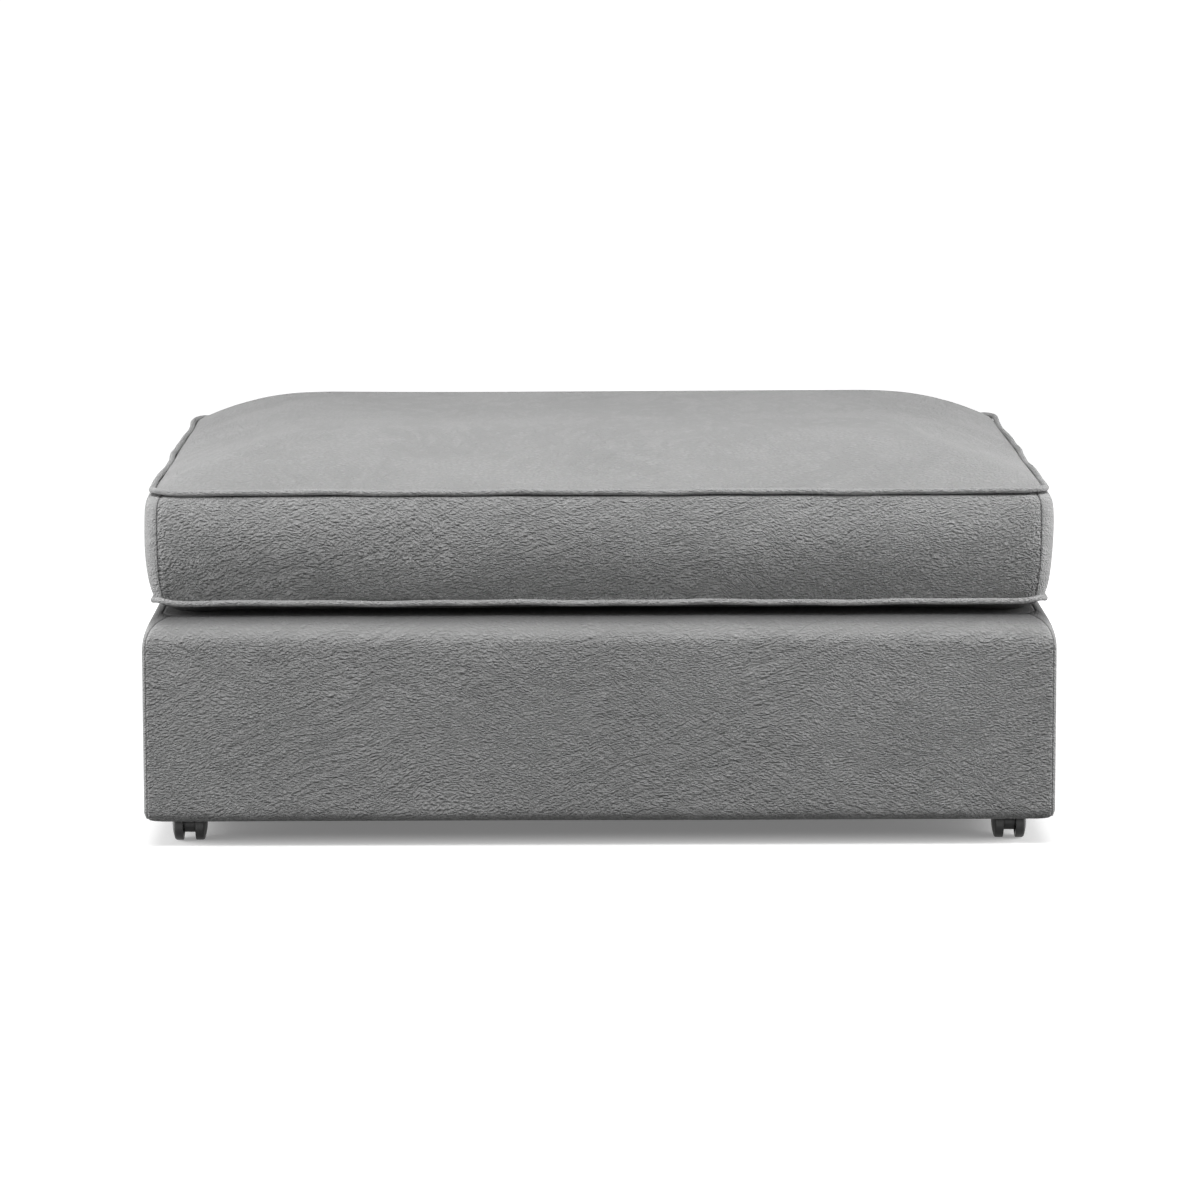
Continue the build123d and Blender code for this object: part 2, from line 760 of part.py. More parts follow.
def make_cushion():
    """Foam core, fibre wrap, sewn panels, boxing and piping of the loose cushion."""
    core_x = half_width - foam_set_back
    core_y = half_depth - foam_set_back
    core = Pos(0, 0, foam_bottom) * extrude(
        RectangleRounded(2 * core_x, 2 * core_y, foam_corner_radius), foam_top - foam_bottom
    )
    save("cushion_foam_core", core)
    core_space = Pos(0, 0, foam_bottom - seat_gap) * extrude(
        RectangleRounded(2 * core_x + 2 * seat_gap, 2 * core_y + 2 * seat_gap, foam_corner_radius),
        foam_top - foam_bottom + 2 * seat_gap,
    )
    waist_x = bottom_piping_x - piping_clear - seat_gap
    waist_y = bottom_piping_y - piping_clear - seat_gap
    waist_bottom = bottom_piping_height - piping_clear
    waist = Pos(0, 0, waist_bottom) * extrude(
        RectangleRounded(2 * waist_x, 2 * waist_y, cushion_corner_radius - piping_clear),
        top_piping_height + piping_clear - waist_bottom,
    )
    filling = crown_form(padding_inset) + waist + boxing_form(padding_inset) + belly_form(padding_inset)
    zip_space = block(
        (
            -zip_half_length - zip_tape_overlap - seat_gap,
            zip_tape_inner - seat_gap,
            zip_height - zip_tape_half_height - seat_gap,
        ),
        (
            zip_half_length + zip_tape_overlap + seat_gap,
            half_depth,
            zip_height + zip_tape_half_height + seat_gap,
        ),
    )
    save("cushion_fibre_wrap", filling - zip_space - core_space)
    save("cushion_top_panel", crown_form(0) - crown_form(cover_thickness))
    save("cushion_bottom_panel", belly_form(0) - belly_form(cover_thickness))
    boxing = boxing_form(0) - boxing_form(cover_thickness)
    seam_x = half_width - boxing_seam_set_back
    rear_middle = block((-seam_x, 0, 0), (seam_x, half_depth, overall_height))
    right_end = block((seam_x, -half_depth, 0), (half_width, half_depth, overall_height))
    zip_slot = block(
        (-zip_half_length, 0, zip_height - zip_slot_half_height),
        (zip_half_length, half_depth, zip_height + zip_slot_half_height),
    )
    rear_boxing = boxing & rear_middle
    right_boxing = boxing & right_end
    save("cushion_front_boxing", mirror_y(rear_boxing))
    save("cushion_rear_boxing", rear_boxing - zip_slot)
    save("cushion_right_boxing", right_boxing)
    save("cushion_left_boxing", mirror_x(right_boxing))
    make_piping("cushion_top_piping", top_piping_x, top_piping_y, top_piping_height)
    make_piping("cushion_bottom_piping", bottom_piping_x, bottom_piping_y, bottom_piping_height)


def make_zip():
    """Zip in the rear boxing: tape with its coil, the slider and its pull."""
    tape_x = zip_half_length + zip_tape_overlap
    tape = block(
        (-tape_x, zip_tape_inner, zip_height - zip_tape_half_height),
        (tape_x, zip_tape_outer, zip_height + zip_tape_half_height),
    )
    coil_x = zip_half_length - seat_gap
    coil = block(
        (-coil_x, zip_tape_outer, zip_height - zip_coil_half_height),
        (coil_x, zip_coil_outer, zip_height + zip_coil_half_height),
    )
    save("zip_tape", tape + coil)
    half_length = slider_length / 2
    shoe = block(
        (-half_length, zip_tape_outer + seat_gap, -slider_half_height),
        (half_length, slider_face, slider_half_height),
    )
    channel_height = zip_coil_half_height + zip_coil_gap
    channel = block(
        (-slider_length, zip_tape_inner, -channel_height),
        (slider_length, zip_coil_outer + zip_coil_gap, channel_height),
    )
    arch_top = slider_face + crown_arch_rise
    arch = block(
        (-crown_arch_length / 2, slider_face, -crown_arch_width / 2),
        (crown_arch_length / 2, arch_top, crown_arch_width / 2),
    )
    arch_space = block(
        (crown_arch_wall - crown_arch_length / 2, slider_face, -crown_arch_width),
        (crown_arch_length / 2 - crown_arch_wall, arch_top - crown_arch_wall, crown_arch_width),
    )
    place = Pos(slider_start, 0, zip_height)
    save("zip_slider", place * (shoe - channel + arch - arch_space))
    pin_y = slider_face + (crown_arch_rise - crown_arch_wall) / 2
    pin = Pos(0, pin_y, 0) * Cylinder(pull_pin_radius, pull_width)
    tab = block(
        (-pull_length, pin_y - pull_pin_radius, -pull_width / 2),
        (pull_pin_radius, pin_y - pull_pin_radius + pull_thickness, pull_width / 2),
    )
    eye_half = pull_width / 2 - pull_pin_radius * 2
    eye = block(
        (-pull_eye - crown_arch_length / 2, slider_face, -eye_half),
        (overrun, half_depth, eye_half),
    )
    save("zip_pull", place * (tab - eye + pin))


make_frame()
make_rail_screws()
make_springs()
make_deck()
make_boards()
make_padding()
make_covers()
make_underside()
make_casters()
make_cushion()
make_zip()
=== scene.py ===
import math
from functools import partial

import bpy
import numpy as np
from mathutils import Euler, Matrix, Vector


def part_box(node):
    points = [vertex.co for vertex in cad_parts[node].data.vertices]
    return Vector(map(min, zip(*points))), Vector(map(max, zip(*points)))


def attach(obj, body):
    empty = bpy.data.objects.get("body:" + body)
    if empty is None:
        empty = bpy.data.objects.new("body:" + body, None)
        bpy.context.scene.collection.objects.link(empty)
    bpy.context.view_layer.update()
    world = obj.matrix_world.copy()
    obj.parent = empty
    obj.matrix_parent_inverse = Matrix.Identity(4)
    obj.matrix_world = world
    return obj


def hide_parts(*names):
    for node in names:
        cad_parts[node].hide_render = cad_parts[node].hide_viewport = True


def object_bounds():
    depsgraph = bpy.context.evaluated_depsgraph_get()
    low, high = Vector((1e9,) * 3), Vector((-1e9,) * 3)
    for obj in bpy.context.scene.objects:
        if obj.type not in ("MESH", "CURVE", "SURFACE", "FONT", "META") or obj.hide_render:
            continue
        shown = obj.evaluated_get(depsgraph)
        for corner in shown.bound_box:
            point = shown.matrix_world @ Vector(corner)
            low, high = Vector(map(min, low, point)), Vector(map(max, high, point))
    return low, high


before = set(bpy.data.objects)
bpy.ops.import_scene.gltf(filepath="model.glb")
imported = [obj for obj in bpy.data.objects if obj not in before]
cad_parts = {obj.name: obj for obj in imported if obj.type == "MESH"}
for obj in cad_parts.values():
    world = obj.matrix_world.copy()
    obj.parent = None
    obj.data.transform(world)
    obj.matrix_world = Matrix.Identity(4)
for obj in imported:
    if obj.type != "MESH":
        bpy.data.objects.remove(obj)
cad_low, cad_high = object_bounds()
mm = 0.001
quarter = math.pi / 2
print("frame loaded:", len(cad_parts), "pieces")

# %% [markdown]
# The photograph looks almost straight at the front, from about six metres away and a little above.
# The camera's place and its long lens were worked out from the piped seams, the base's corners and
# the two casters.
# %% Camera
camera_place = Vector((-0.0381, -6.1727, 1.1383))
camera_yaw, camera_pitch, camera_roll = (math.radians(a) for a in (0.3834, 8.3929, -0.1129))
camera_data = bpy.data.cameras.new("camera")
camera_data.lens = 154.32
camera_data.sensor_width = 36.0
camera = bpy.data.objects.new("camera", camera_data)
bpy.context.scene.collection.objects.link(camera)
aim = Euler((quarter - camera_pitch, 0.0, -camera_yaw)).to_matrix().to_4x4()
camera.matrix_world = Matrix.Translation(camera_place) @ aim @ Matrix.Rotation(camera_roll, 4, "Z")
bpy.context.scene.camera = camera

# %% [markdown]
# A finish is a small network of nodes. Written node by node, it is long and hard to follow, so one
# class holds a number that varies over the surface and lets it take part in ordinary sums. Colours
# are mixed by a node of their own, because a Math node would turn them grey.
# %% Shader sums


class Varying:
    """A number that varies over a surface and can be used in a sum."""

    def __init__(self, nodes, socket):
        self.nodes = nodes
        self.socket = socket

    def math(self, operation, *others):
        sockets = dict(enumerate((self, *others)))
        return self.nodes.node("Math", {"operation": operation}, sockets)

    def __add__(self, other):
        return self.math("ADD", other)

    def __mul__(self, other):
        return self.math("MULTIPLY", other)

    def __sub__(self, other):
        return self.math("SUBTRACT", other)

    def __rsub__(self, other):
        return (self * -1.0) + other

    __radd__ = __add__

    def step(self, low, high):
        """0 below low, 1 above high, and a soft rise between them."""
        settings = {"interpolation_type": "SMOOTHSTEP"}
        sockets = {"Value": self, "From Min": low, "From Max": high}
        return self.nodes.node("MapRange", settings, sockets, "Result")


class Nodes:
    """A tree of nodes and the methods that add to it."""

    def __init__(self, tree):
        self.tree = tree

    def node(self, kind, settings=None, sockets=None, output=0):
        made = self.tree.nodes.new("ShaderNode" + kind)
        for key, value in (settings or {}).items():
            setattr(made, key, value)
        for key, value in (sockets or {}).items():
            self.join(made.inputs[key], value)
        return Varying(self, made.outputs[output])

    def join(self, socket, value):
        if isinstance(value, Varying):
            self.tree.links.new(value.socket, socket)
        else:
            socket.default_value = value

    def blend(self, mask, low, high):
        """The low colour where the mask is 0 and the high colour where it is 1."""
        return self.node("Mix", {"data_type": "RGBA"}, {0: mask, 6: low, 7: high}, 2)

    def shown_ray(self):
        """1 for a ray that shows the surroundings themselves, to the camera or in a reflection."""
        kinds = ("Is Camera Ray", "Is Glossy Ray", "Is Transmission Ray")
        camera_ray, glossy_ray, clear_ray = (self.node("LightPath", output=kind) for kind in kinds)
        return camera_ray.math("MAXIMUM", glossy_ray).math("MAXIMUM", clear_ray)


# %% [markdown]
# A material adds to this the place on the object, the patterns that all the finishes here are made
# of, and the sockets of its one shader.
# %% Materials


class Finish(Nodes):
    """A material and the methods that give it its pattern."""

    def __init__(self, name):
        self.material = bpy.data.materials.new(name)
        self.material.use_nodes = True
        super().__init__(self.material.node_tree)
        self.shader = self.tree.nodes["Principled BSDF"]

    def place(self, offset=(0, 0, 0), turn=0.0):
        """Where a point is on the object, in metres, shifted and turned about Z."""
        point = self.node("TexCoord", output="Object")
        return self.node("Mapping", None, {0: point, "Location": offset, "Rotation": (0, 0, turn)})

    def along(self, axis):
        """How far along X, Y or Z a point of the object is, in metres."""
        return self.node("SeparateXYZ", None, {0: self.place()}, axis)

    def shift(self, point, amounts, size):
        """The point pushed about by a vector of noise, at most half the size each way."""
        centred = self.node("VectorMath", {"operation": "SUBTRACT"}, {0: amounts, 1: (0.5,) * 3})
        push = self.node("VectorMath", {"operation": "SCALE"}, {0: centred, "Scale": size})
        return self.node("VectorMath", {"operation": "ADD"}, {0: point, 1: push})

    def stretch(self, point, scale, turn=(0, 0, 0)):
        """The point scaled along each axis and then turned."""
        return self.node("Mapping", None, {0: point, "Rotation": turn, "Scale": scale})

    def noise(self, point, scale, detail=2.0, output="Fac"):
        sockets = {"Vector": point, "Scale": scale, "Detail": detail}
        return self.node("TexNoise", None, sockets, output)

    def cells(self, point, scale, feature="DISTANCE_TO_EDGE"):
        sockets = {"Vector": point, "Scale": scale}
        return self.node("TexVoronoi", {"feature": feature}, sockets, "Distance")

    def bump(self, height, distance, strength=1.0):
        sockets = {"Height": height, "Distance": distance, "Strength": strength}
        self.join(self.shader.inputs["Normal"], self.node("Bump", None, sockets))

    def surface(self, **values):
        """Set the shader's sockets by name, with _ for a space."""
        for key, value in values.items():
            self.join(self.shader.inputs[key.replace("_", " ")], value)


def grey(level, warmth=0.0):
    """A near-grey colour, a little warmer if warmth is above zero."""
    return (level * (1 + warmth), level, level * (1 - warmth), 1.0)


# %% [markdown]
# The leather is a mid grey hide with an embossed grain: fine folds, wider than they are tall, from
# noise and a net of cells, and longer creases that run across in gentle curves, from two slanted
# families of stretched noise. The grain tilts the surface, and the colour changes little with it. It
# is flatter over the base's shoulder and high on the cushion's band, so its depth goes from one value
# to another between two heights. The top of the shoulder, under the cushion's overhang, has painted
# shade: its colour darkens between two more heights. The seam lines are painted shade too. A side
# panel is cut with its grain along the side, so its pattern is turned by a quarter.
# %% Leather
fold_scale, net_scale, grain_depth = 570.0, 270.0, 2.6 * mm
wanderings = ((34.0, 9 * mm), (5.0, 60 * mm))
creases = ((24, 0.5), (-30, 0.4))
crease_stretch, crease_sharpness = (12.0, 14.0, 90.0), 9.0
# Painted shade: how strongly and how dark the leather is made along seams and under the cushion's overhang.
painted_seam_shade, painted_seam_shade_level = 0.85, 0.2
cushion_shade_strength, cushion_shade_level = 0.78, 0.1


def make_leather(
    name, turn=0.0, offset=(0, 0, 0), level=0.45, heights=(0.0, 0.1), depths=(0.4, 0.4), shade_under_cushion=None
):
    """Leather of one lightness, with grain of two depths below and above two heights, and painted shade
    above a further pair of heights when asked for.
    """
    finish = Finish(name)
    point = bent = finish.place(offset, turn)
    for scale, size in wanderings:
        bent = finish.shift(bent, finish.noise(point, scale, 1.0, "Color"), size)
    flat = finish.stretch(bent, (0.5, 1.0, 1.0))
    folds, net = finish.noise(flat, fold_scale, 1.5), finish.cells(flat, net_scale)
    height = folds * 1.6 + net.step(0.0, 0.4) * 0.5
    for slant, share in creases:
        slanted = finish.stretch(bent, (1, 1, 1), (0, math.radians(slant), 0))
        run = finish.noise(finish.stretch(slanted, crease_stretch), 1.0, 2.0)
        crease = 1 - ((run - 0.5).math("ABSOLUTE") * crease_sharpness).math("MINIMUM", 1.0)
        patches = finish.noise(point, 8.0 + slant / 20, 1.0).step(0.38, 0.58)
        height = height - crease * patches * share
    up = finish.along("Z")
    depth = up.step(*heights) * (depths[1] - depths[0]) + depths[0]
    cloud = finish.noise(point, 3.5, 3.0)
    shade = cloud * 0.35 + height.step(0.5, 1.6) * 0.5 + 0.1
    # Painted shade along seams and in the crevice under the upper piping, from the mesh's seam attribute.
    seam = finish.node("Attribute", {"attribute_name": "seam"}, output="Fac").step(0.5, 0.95)
    colour = finish.blend(shade, grey(level * 0.80), grey(level * 1.14))
    colour = finish.blend(seam * painted_seam_shade, colour, grey(level * painted_seam_shade_level))
    # Painted shade where the cushion overhangs the top of the shoulder.
    if shade_under_cushion:
        colour = finish.blend(up.step(*shade_under_cushion) * cushion_shade_strength, colour, grey(level * cushion_shade_level))
    finish.bump(height * depth, grain_depth)
    finish.surface(Base_Color=colour, Roughness=0.60 - height * 0.06 + cloud * 0.05)
    finish.surface(Specular_IOR_Level=0.15)
    return finish.material


# The shoulder's second pair of heights is where it gets painted shade under the cushion.
shoulder = {"heights": (0.232, 0.250), "shade_under_cushion": (0.250, 0.266)}
band = {"heights": (0.285, 0.40), "level": 0.48}
base_end_leather = make_leather("base_end_leather", level=0.48, depths=(1.25, 0.22), **shoulder)
base_side_leather = make_leather(
    "base_side_leather", quarter, (0.31, 0.17, 0.05), depths=(0.55, 0.22), **shoulder
)
band_leather = make_leather("band_leather", 0.0, (0.37, 0.0, 0.61), depths=(2.5, 0.85), **band)
band_side_leather = make_leather(
    "band_side_leather", quarter, (0.2, 0.3, 0.4), depths=(0.6, 0.35), **band
)
top_leather = make_leather("top_leather", 0.0, (0.73, 0.41, 0.23), 0.44)
# The deck and the cushion's underside are a darker hide, which also stands in as painted shade in the gap
# between cushion and base.
dark_hide_and_gap_shade = make_leather("dark_hide_and_gap_shade", 0.0, (0.13, 0.71, 0.53), 0.20)
piping_leather = make_leather("piping_leather", 0.0, (0.11, 0.53, 0.37), 0.50, depths=(0.5, 0.5))

# %% [markdown]
# Operators act on what is selected, so each of these helpers first selects only its own piece.
# %% Helpers for pieces


def select_only(*pieces):
    """Leave edit mode and select only these pieces, the first of them active."""
    if bpy.context.mode != "OBJECT":
        bpy.ops.object.mode_set(mode="OBJECT")
    bpy.ops.object.select_all(action="DESELECT")
    for piece in pieces:
        piece.select_set(True)
    if pieces:
        bpy.context.view_layer.objects.active = pieces[0]


def edit_whole(piece, operator, **settings):
    """Run one mesh operator on the whole of a piece."""
    select_only(piece)
    bpy.ops.object.mode_set(mode="EDIT")
    bpy.ops.mesh.select_all(action="SELECT")
    operator(**settings)
    bpy.ops.object.mode_set(mode="OBJECT")


def apply_modifier(piece, kind, **settings):
    select_only(piece)
    modifier = piece.modifiers.new(kind.lower(), kind)
    for key, value in settings.items():
        setattr(modifier, key, value)
    bpy.ops.object.modifier_apply(modifier=modifier.name)


def thicken(piece, thickness):
    """Give a sheet its wall, on the inner side."""
    apply_modifier(piece, "SOLIDIFY", thickness=thickness, offset=-1.0, use_rim=True)


def smooth(piece, angle=40):
    select_only(piece)
    bpy.ops.object.shade_smooth_by_angle(angle=math.radians(angle))


def vectors(items, name):
    flat = np.zeros(len(items) * 3)
    items.foreach_get(name, flat)
    return flat.reshape(-1, 3)


def points_of(piece):
    return vectors(piece.data.vertices, "co")


def normals_of(piece):
    return vectors(piece.data.vertex_normals, "vector")


def move_points(piece, points):
    piece.data.vertices.foreach_set("co", np.ascontiguousarray(points, float).ravel())
    piece.data.update()


def finish_piece(piece, material, body, nodes):
    """Give a piece its material, its body and the plain solids that it stands for."""
    piece.data.materials.clear()
    piece.data.materials.append(material)
    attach(piece, body)
    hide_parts(*nodes)
    print(piece.name, "has", len(piece.data.vertices), "points")


# %% [markdown]
# Every sheet here starts as a flat grid, as a panel starts as a flat cut of hide. The grid's rows
# and columns are close together at the edges, where the leather turns into a seam, and wide apart
# in the middle, and each point is then moved to its place on the form.
# %% Sheets from a grid


def spread(low, high, cell, edge=()):
    """Places from low to high about one cell apart, with closer ones near both ends."""
    steps = (0.0, *edge)
    inner_low, inner_high = low + steps[-1], high - steps[-1]
    count = max(1, round((inner_high - inner_low) / cell))
    before = [low + step for step in steps[:-1]]
    after = [high - step for step in reversed(steps[:-1])]
    return np.array([*before, *np.linspace(inner_low, inner_high, count + 1), *after])


def grid_piece(name, across, along, place, closed=False):
    """A grid with columns at across and rows at along, moved to place(column, row)."""
    select_only()
    columns, rows = len(across) - 1, len(along) - 1
    bpy.ops.mesh.primitive_grid_add(x_subdivisions=columns, y_subdivisions=rows, size=1.0)
    piece = bpy.context.object
    piece.name = piece.data.name = name
    flat = points_of(piece)
    column = np.rint((flat[:, 0] + 0.5) * columns).astype(int)
    row = np.rint((flat[:, 1] + 0.5) * rows).astype(int)
    move_points(piece, place(across[column], along[row]))
    if closed:
        edit_whole(piece, bpy.ops.mesh.remove_doubles, threshold=0.02 * mm)
        edit_whole(piece, bpy.ops.mesh.normals_make_consistent, inside=False)
    return piece


# %% [markdown]
# The covered base is a box with upright sides, a small roll at the hem and a soft shoulder that
# turns in to the flat deck. A line that runs up one side gives both: how far the leather stands in
# from the widest place, and how high it is. Its four stretches are the hem, the upright side, the
# wide start of the shoulder and its tight end.
# %% Upright line of the base
base_half_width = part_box("right_cover")[1].x
base_half_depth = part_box("rear_cover")[1].y
base_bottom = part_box("right_cover")[0].z
deck_half_width, base_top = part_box("deck_cover")[1].x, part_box("deck_cover")[1].z
cover_thickness = 1.4 * mm
hem_radius, corner_radius = 9 * mm, 8 * mm
corner_widening = 0.9
shoulder_radius, shoulder_turn, nose_radius = 63 * mm, math.radians(28), 16 * mm
seam_set_in, seam_radius = 4 * mm, 33 * mm
nose_turn = quarter - shoulder_turn
shoulder_height = shoulder_radius * math.sin(shoulder_turn) + nose_radius * (1 - math.sin(shoulder_turn))
shoulder_start = base_top - shoulder_height
hem_length = hem_radius * quarter
side_length = shoulder_start - base_bottom - hem_radius
shoulder_length = shoulder_radius * shoulder_turn
line_length = hem_length + side_length + shoulder_length + nose_radius * nose_turn


def upright_line(run, tuck=0.0):
    """Inset and height of the leather at a run along the line, drawn in by the tuck."""
    hem = np.clip(run / hem_radius, 0, quarter)
    side = np.clip(run - hem_length, 0, side_length)
    past = run - hem_length - side_length
    wide = np.clip(past / shoulder_radius, 0, shoulder_turn)
    tight = np.clip((past - shoulder_length) / nose_radius, 0, nose_turn)
    lean = np.where(run < hem_length, hem - quarter, wide + tight)
    inset = hem_radius * (1 - np.sin(hem)) + shoulder_radius * (1 - np.cos(wide))
    inset = inset + nose_radius * (math.cos(shoulder_turn) - np.cos(shoulder_turn + tight)) * (tight > 0)
    height = base_bottom + hem_radius * (1 - np.cos(hem)) + side + shoulder_radius * np.sin(wide)
    rise = nose_radius * (np.sin(shoulder_turn + tight) - math.sin(shoulder_turn))
    height = height + rise * (tight > 0)
    return inset + tuck * np.cos(lean), height - tuck * np.sin(lean)


def plan_radius(inset):
    """Radius of the base's upright corner in plan, which widens over the shoulder."""
    return corner_radius + corner_widening * np.clip(inset, 0, None)


def seam_x(height, set_in):
    """How far out the front panel's seam is: upright, then round a quarter circle."""
    over = np.clip(height - (base_top - seam_radius), 0, seam_radius)
    reach = np.sqrt(np.clip(seam_radius**2 - over**2, 0, None))
    return base_half_width - set_in - seam_radius + reach


# %% [markdown]
# The front panel fills the middle of the front and rolls over onto the deck. Its seam runs up beside
# the corner and turns round a quarter circle at the top, so the outer columns of the grid are squeezed
# there. Along every seam the leather dips a little, as it does where two edges are sewn together.
# %% Front and rear covers
seam_steps = (1.2 * mm, 2.6 * mm, 4.6 * mm, 8 * mm)
seam_dip, seam_reach = 0.8 * mm, 0.9 * mm
base_cell = 9 * mm
padding_unevenness, even_edge = 0.25 * mm, 30 * mm
cover_rows = spread(0.0, line_length, base_cell * 0.8, seam_steps)


def dip(distance):
    """How far the leather is drawn in at a distance from its seam."""
    return seam_dip * np.exp(-((distance / seam_reach) ** 2))


def swell(u, v, size, seed):
    """A very slight unevenness of padding, made of a few long waves."""
    wave = np.sin(u * 7.1 + seed) * np.cos(v * 11.3 + 2 * seed) + np.sin(u * 3.3 - v * 17.0 + 3 * seed)
    return 0.5 * size * wave


def end_place(column, run, side, set_in, line):
    """Places on the front, with side -1, or the rear, with side 1, for a line up the base."""
    widest = base_half_width - set_in
    kept = widest - 2 * seam_radius
    flat_inset, flat_height = upright_line(run)
    beyond = np.clip((np.abs(column) - kept) / (widest - kept), 0, 1)
    turned = kept + beyond * (seam_x(flat_height, set_in) - kept)
    x = np.sign(column) * np.where(np.abs(column) > kept, turned, np.abs(column))
    radius = plan_radius(flat_inset)
    corner = np.clip(np.abs(x) - (base_half_width - flat_inset - radius), 0, radius * 0.999)
    back = radius - np.sqrt(radius**2 - corner**2)
    inset, height = line(column, run)
    return np.column_stack([x, side * (base_half_depth - inset - back), height])


def end_cover(name, side):
    widest = base_half_width - seam_set_in

    def sewn_line(column, run):
        edge = np.minimum(widest - np.abs(column), line_length - run)
        uneven = swell(column * 3, run * 3, padding_unevenness, side)
        return upright_line(run, dip(edge) + uneven * np.clip(edge / even_edge, 0, 1))

    place = partial(end_place, side=side, set_in=seam_set_in, line=sewn_line)
    cover = grid_piece(name, spread(-widest, widest, base_cell, seam_steps), cover_rows, place)
    if side > 0:
        cover.data.flip_normals()
    return cover


front_cover = end_cover("front_cover_leather", -1)
rear_cover = end_cover("rear_cover_leather", 1)

# %% [markdown]
# Each side cover runs along the side and wraps round both upright corners to meet the end covers.
# Its columns are places along the side up to the corners, and beyond them 1 to 2 round a corner.
# %% Side covers
wrap_steps = 7
side_ends = base_half_depth - corner_radius
wraps = np.arange(1, wrap_steps + 1) / wrap_steps
side_middle = spread(-side_ends, side_ends, base_cell, (3 * mm, 7 * mm))
side_across = np.concatenate([-1 - wraps[::-1], side_middle, 1 + wraps])


def side_place(column, run, side, set_in, line):
    """Places on the right, with side 1, or the left, with side -1, for a line up the base."""
    flat_inset, flat_height = upright_line(run)
    radius = plan_radius(flat_inset)
    centre_x = base_half_width - flat_inset - radius
    centre_y = base_half_depth - flat_inset - radius
    start = np.arcsin(np.clip((seam_x(flat_height, set_in) - centre_x) / radius, 0.0, 1.0))
    angle = quarter - np.clip(np.abs(column) - 1, 0, 1) * (quarter - start)
    wrapped = np.abs(column) >= 1
    inset, height = line(np.where(wrapped, (angle - start) * radius, side_ends), run)
    drawn = radius - (inset - flat_inset)
    x = np.where(wrapped, centre_x + drawn * np.sin(angle), base_half_width - inset)
    y = np.where(wrapped, centre_y + drawn * np.cos(angle), np.abs(column) / side_ends * centre_y)
    return np.column_stack([side * x, np.sign(column) * y, height])


def side_cover(name, side):
    def sewn_line(seam_distance, run):
        return upright_line(run, dip(np.minimum(seam_distance, line_length - run)))

    place = partial(side_place, side=side, set_in=seam_set_in, line=sewn_line)
    cover = grid_piece(name, side_across, cover_rows, place)
    if side < 0:
        cover.data.flip_normals()
    return cover


right_cover = side_cover("right_cover_leather", 1)
left_cover = side_cover("left_cover_leather", -1)

# %% [markdown]
# The deck under the cushion is one flat panel with rounded corners. A square grid is bent into that
# shape by drawing each corner of it onto a quarter circle.
# %% Deck cover
deck_half_depth = base_half_depth - (base_half_width - deck_half_width)
deck_radius = float(plan_radius(base_half_width - deck_half_width))
deck_cell, deck_set_down = 14 * mm, 0.05 * mm


def round_corners(x, y, half_x, half_y, radius):
    """Draw the corners of a rectangle full of points onto quarter circles."""
    over_x = np.clip((np.abs(x) - half_x + radius) / radius, 0, None)
    over_y = np.clip((np.abs(y) - half_y + radius) / radius, 0, None)
    both = (over_x > 0) & (over_y > 0)
    far = np.where(both, np.hypot(over_x, over_y), 1.0)
    shrink = np.where(both, np.maximum(over_x, over_y) / far, 1.0)
    new_x = np.where(both, np.sign(x) * (half_x - radius + over_x * shrink * radius), x)
    new_y = np.where(both, np.sign(y) * (half_y - radius + over_y * shrink * radius), y)
    return new_x, new_y


def place_deck(column, row):
    edge = np.minimum(deck_half_width - np.abs(column), deck_half_depth - np.abs(row))
    x, y = round_corners(column, row, deck_half_width, deck_half_depth, deck_radius)
    return np.column_stack([x, y, base_top - dip(edge) - deck_set_down])


deck_columns, deck_rows = (
    spread(-half, half, deck_cell, seam_steps) for half in (deck_half_width, deck_half_depth)
)
deck_cover = grid_piece("deck_cover_leather", deck_columns, deck_rows, place_deck)

# %% [markdown]
# A seam's groove is painted in as a thin dark line of shade. Each point's distance from the border of its
# panel, counted in edges, is kept in an attribute of the mesh, and the leather darkens where it is high.
# %% Seam lines
ring_depth = 3


def border_rings(piece):
    """How many edges each point is from the border, up to the ring depth."""
    links = {}
    uses = {}
    for face in piece.data.polygons:
        for key in face.edge_keys:
            uses[key] = uses.get(key, 0) + 1
    for a, b in uses:
        links.setdefault(a, []).append(b)
        links.setdefault(b, []).append(a)
    ring = np.full(len(piece.data.vertices), ring_depth)
    now = {v for key, used in uses.items() if used == 1 for v in key}
    for step in range(ring_depth):
        for v in now:
            ring[v] = min(ring[v], step)
        now = {w for v in now for w in links[v] if ring[w] > step + 1}
    return ring


def mark_seams(piece, ring, beside, painted_crevice_shade=0.0):
    """Keep how near each point is to a seam, for the painted shade along the leather's seam line and, where
    given, in a crevice.
    """
    near = np.maximum(np.choose(np.clip(ring, 0, 2), [1.0, beside, 0.0]), painted_crevice_shade)
    piece.data.attributes.new("seam", "FLOAT", "POINT").data.foreach_set("value", near)


# %% [markdown]
# A cover is one hide thick. Its wall goes on the inner side, where the padding is, and smooth
# shading hides the grid.
# %% Finish the base covers
base_covers = {
    "front_cover": (front_cover, base_end_leather),
    "rear_cover": (rear_cover, base_end_leather),
    "right_cover": (right_cover, base_side_leather),
    "left_cover": (left_cover, base_side_leather),
    "deck_cover": (deck_cover, dark_hide_and_gap_shade),
}
for node, (cover, leather) in base_covers.items():
    # Painted shade along every border of a base cover, at its seams and its hem.
    mark_seams(cover, border_rings(cover), 0.5)
    thicken(cover, cover_thickness)
    smooth(cover)
    finish_piece(cover, leather, "base", [node])

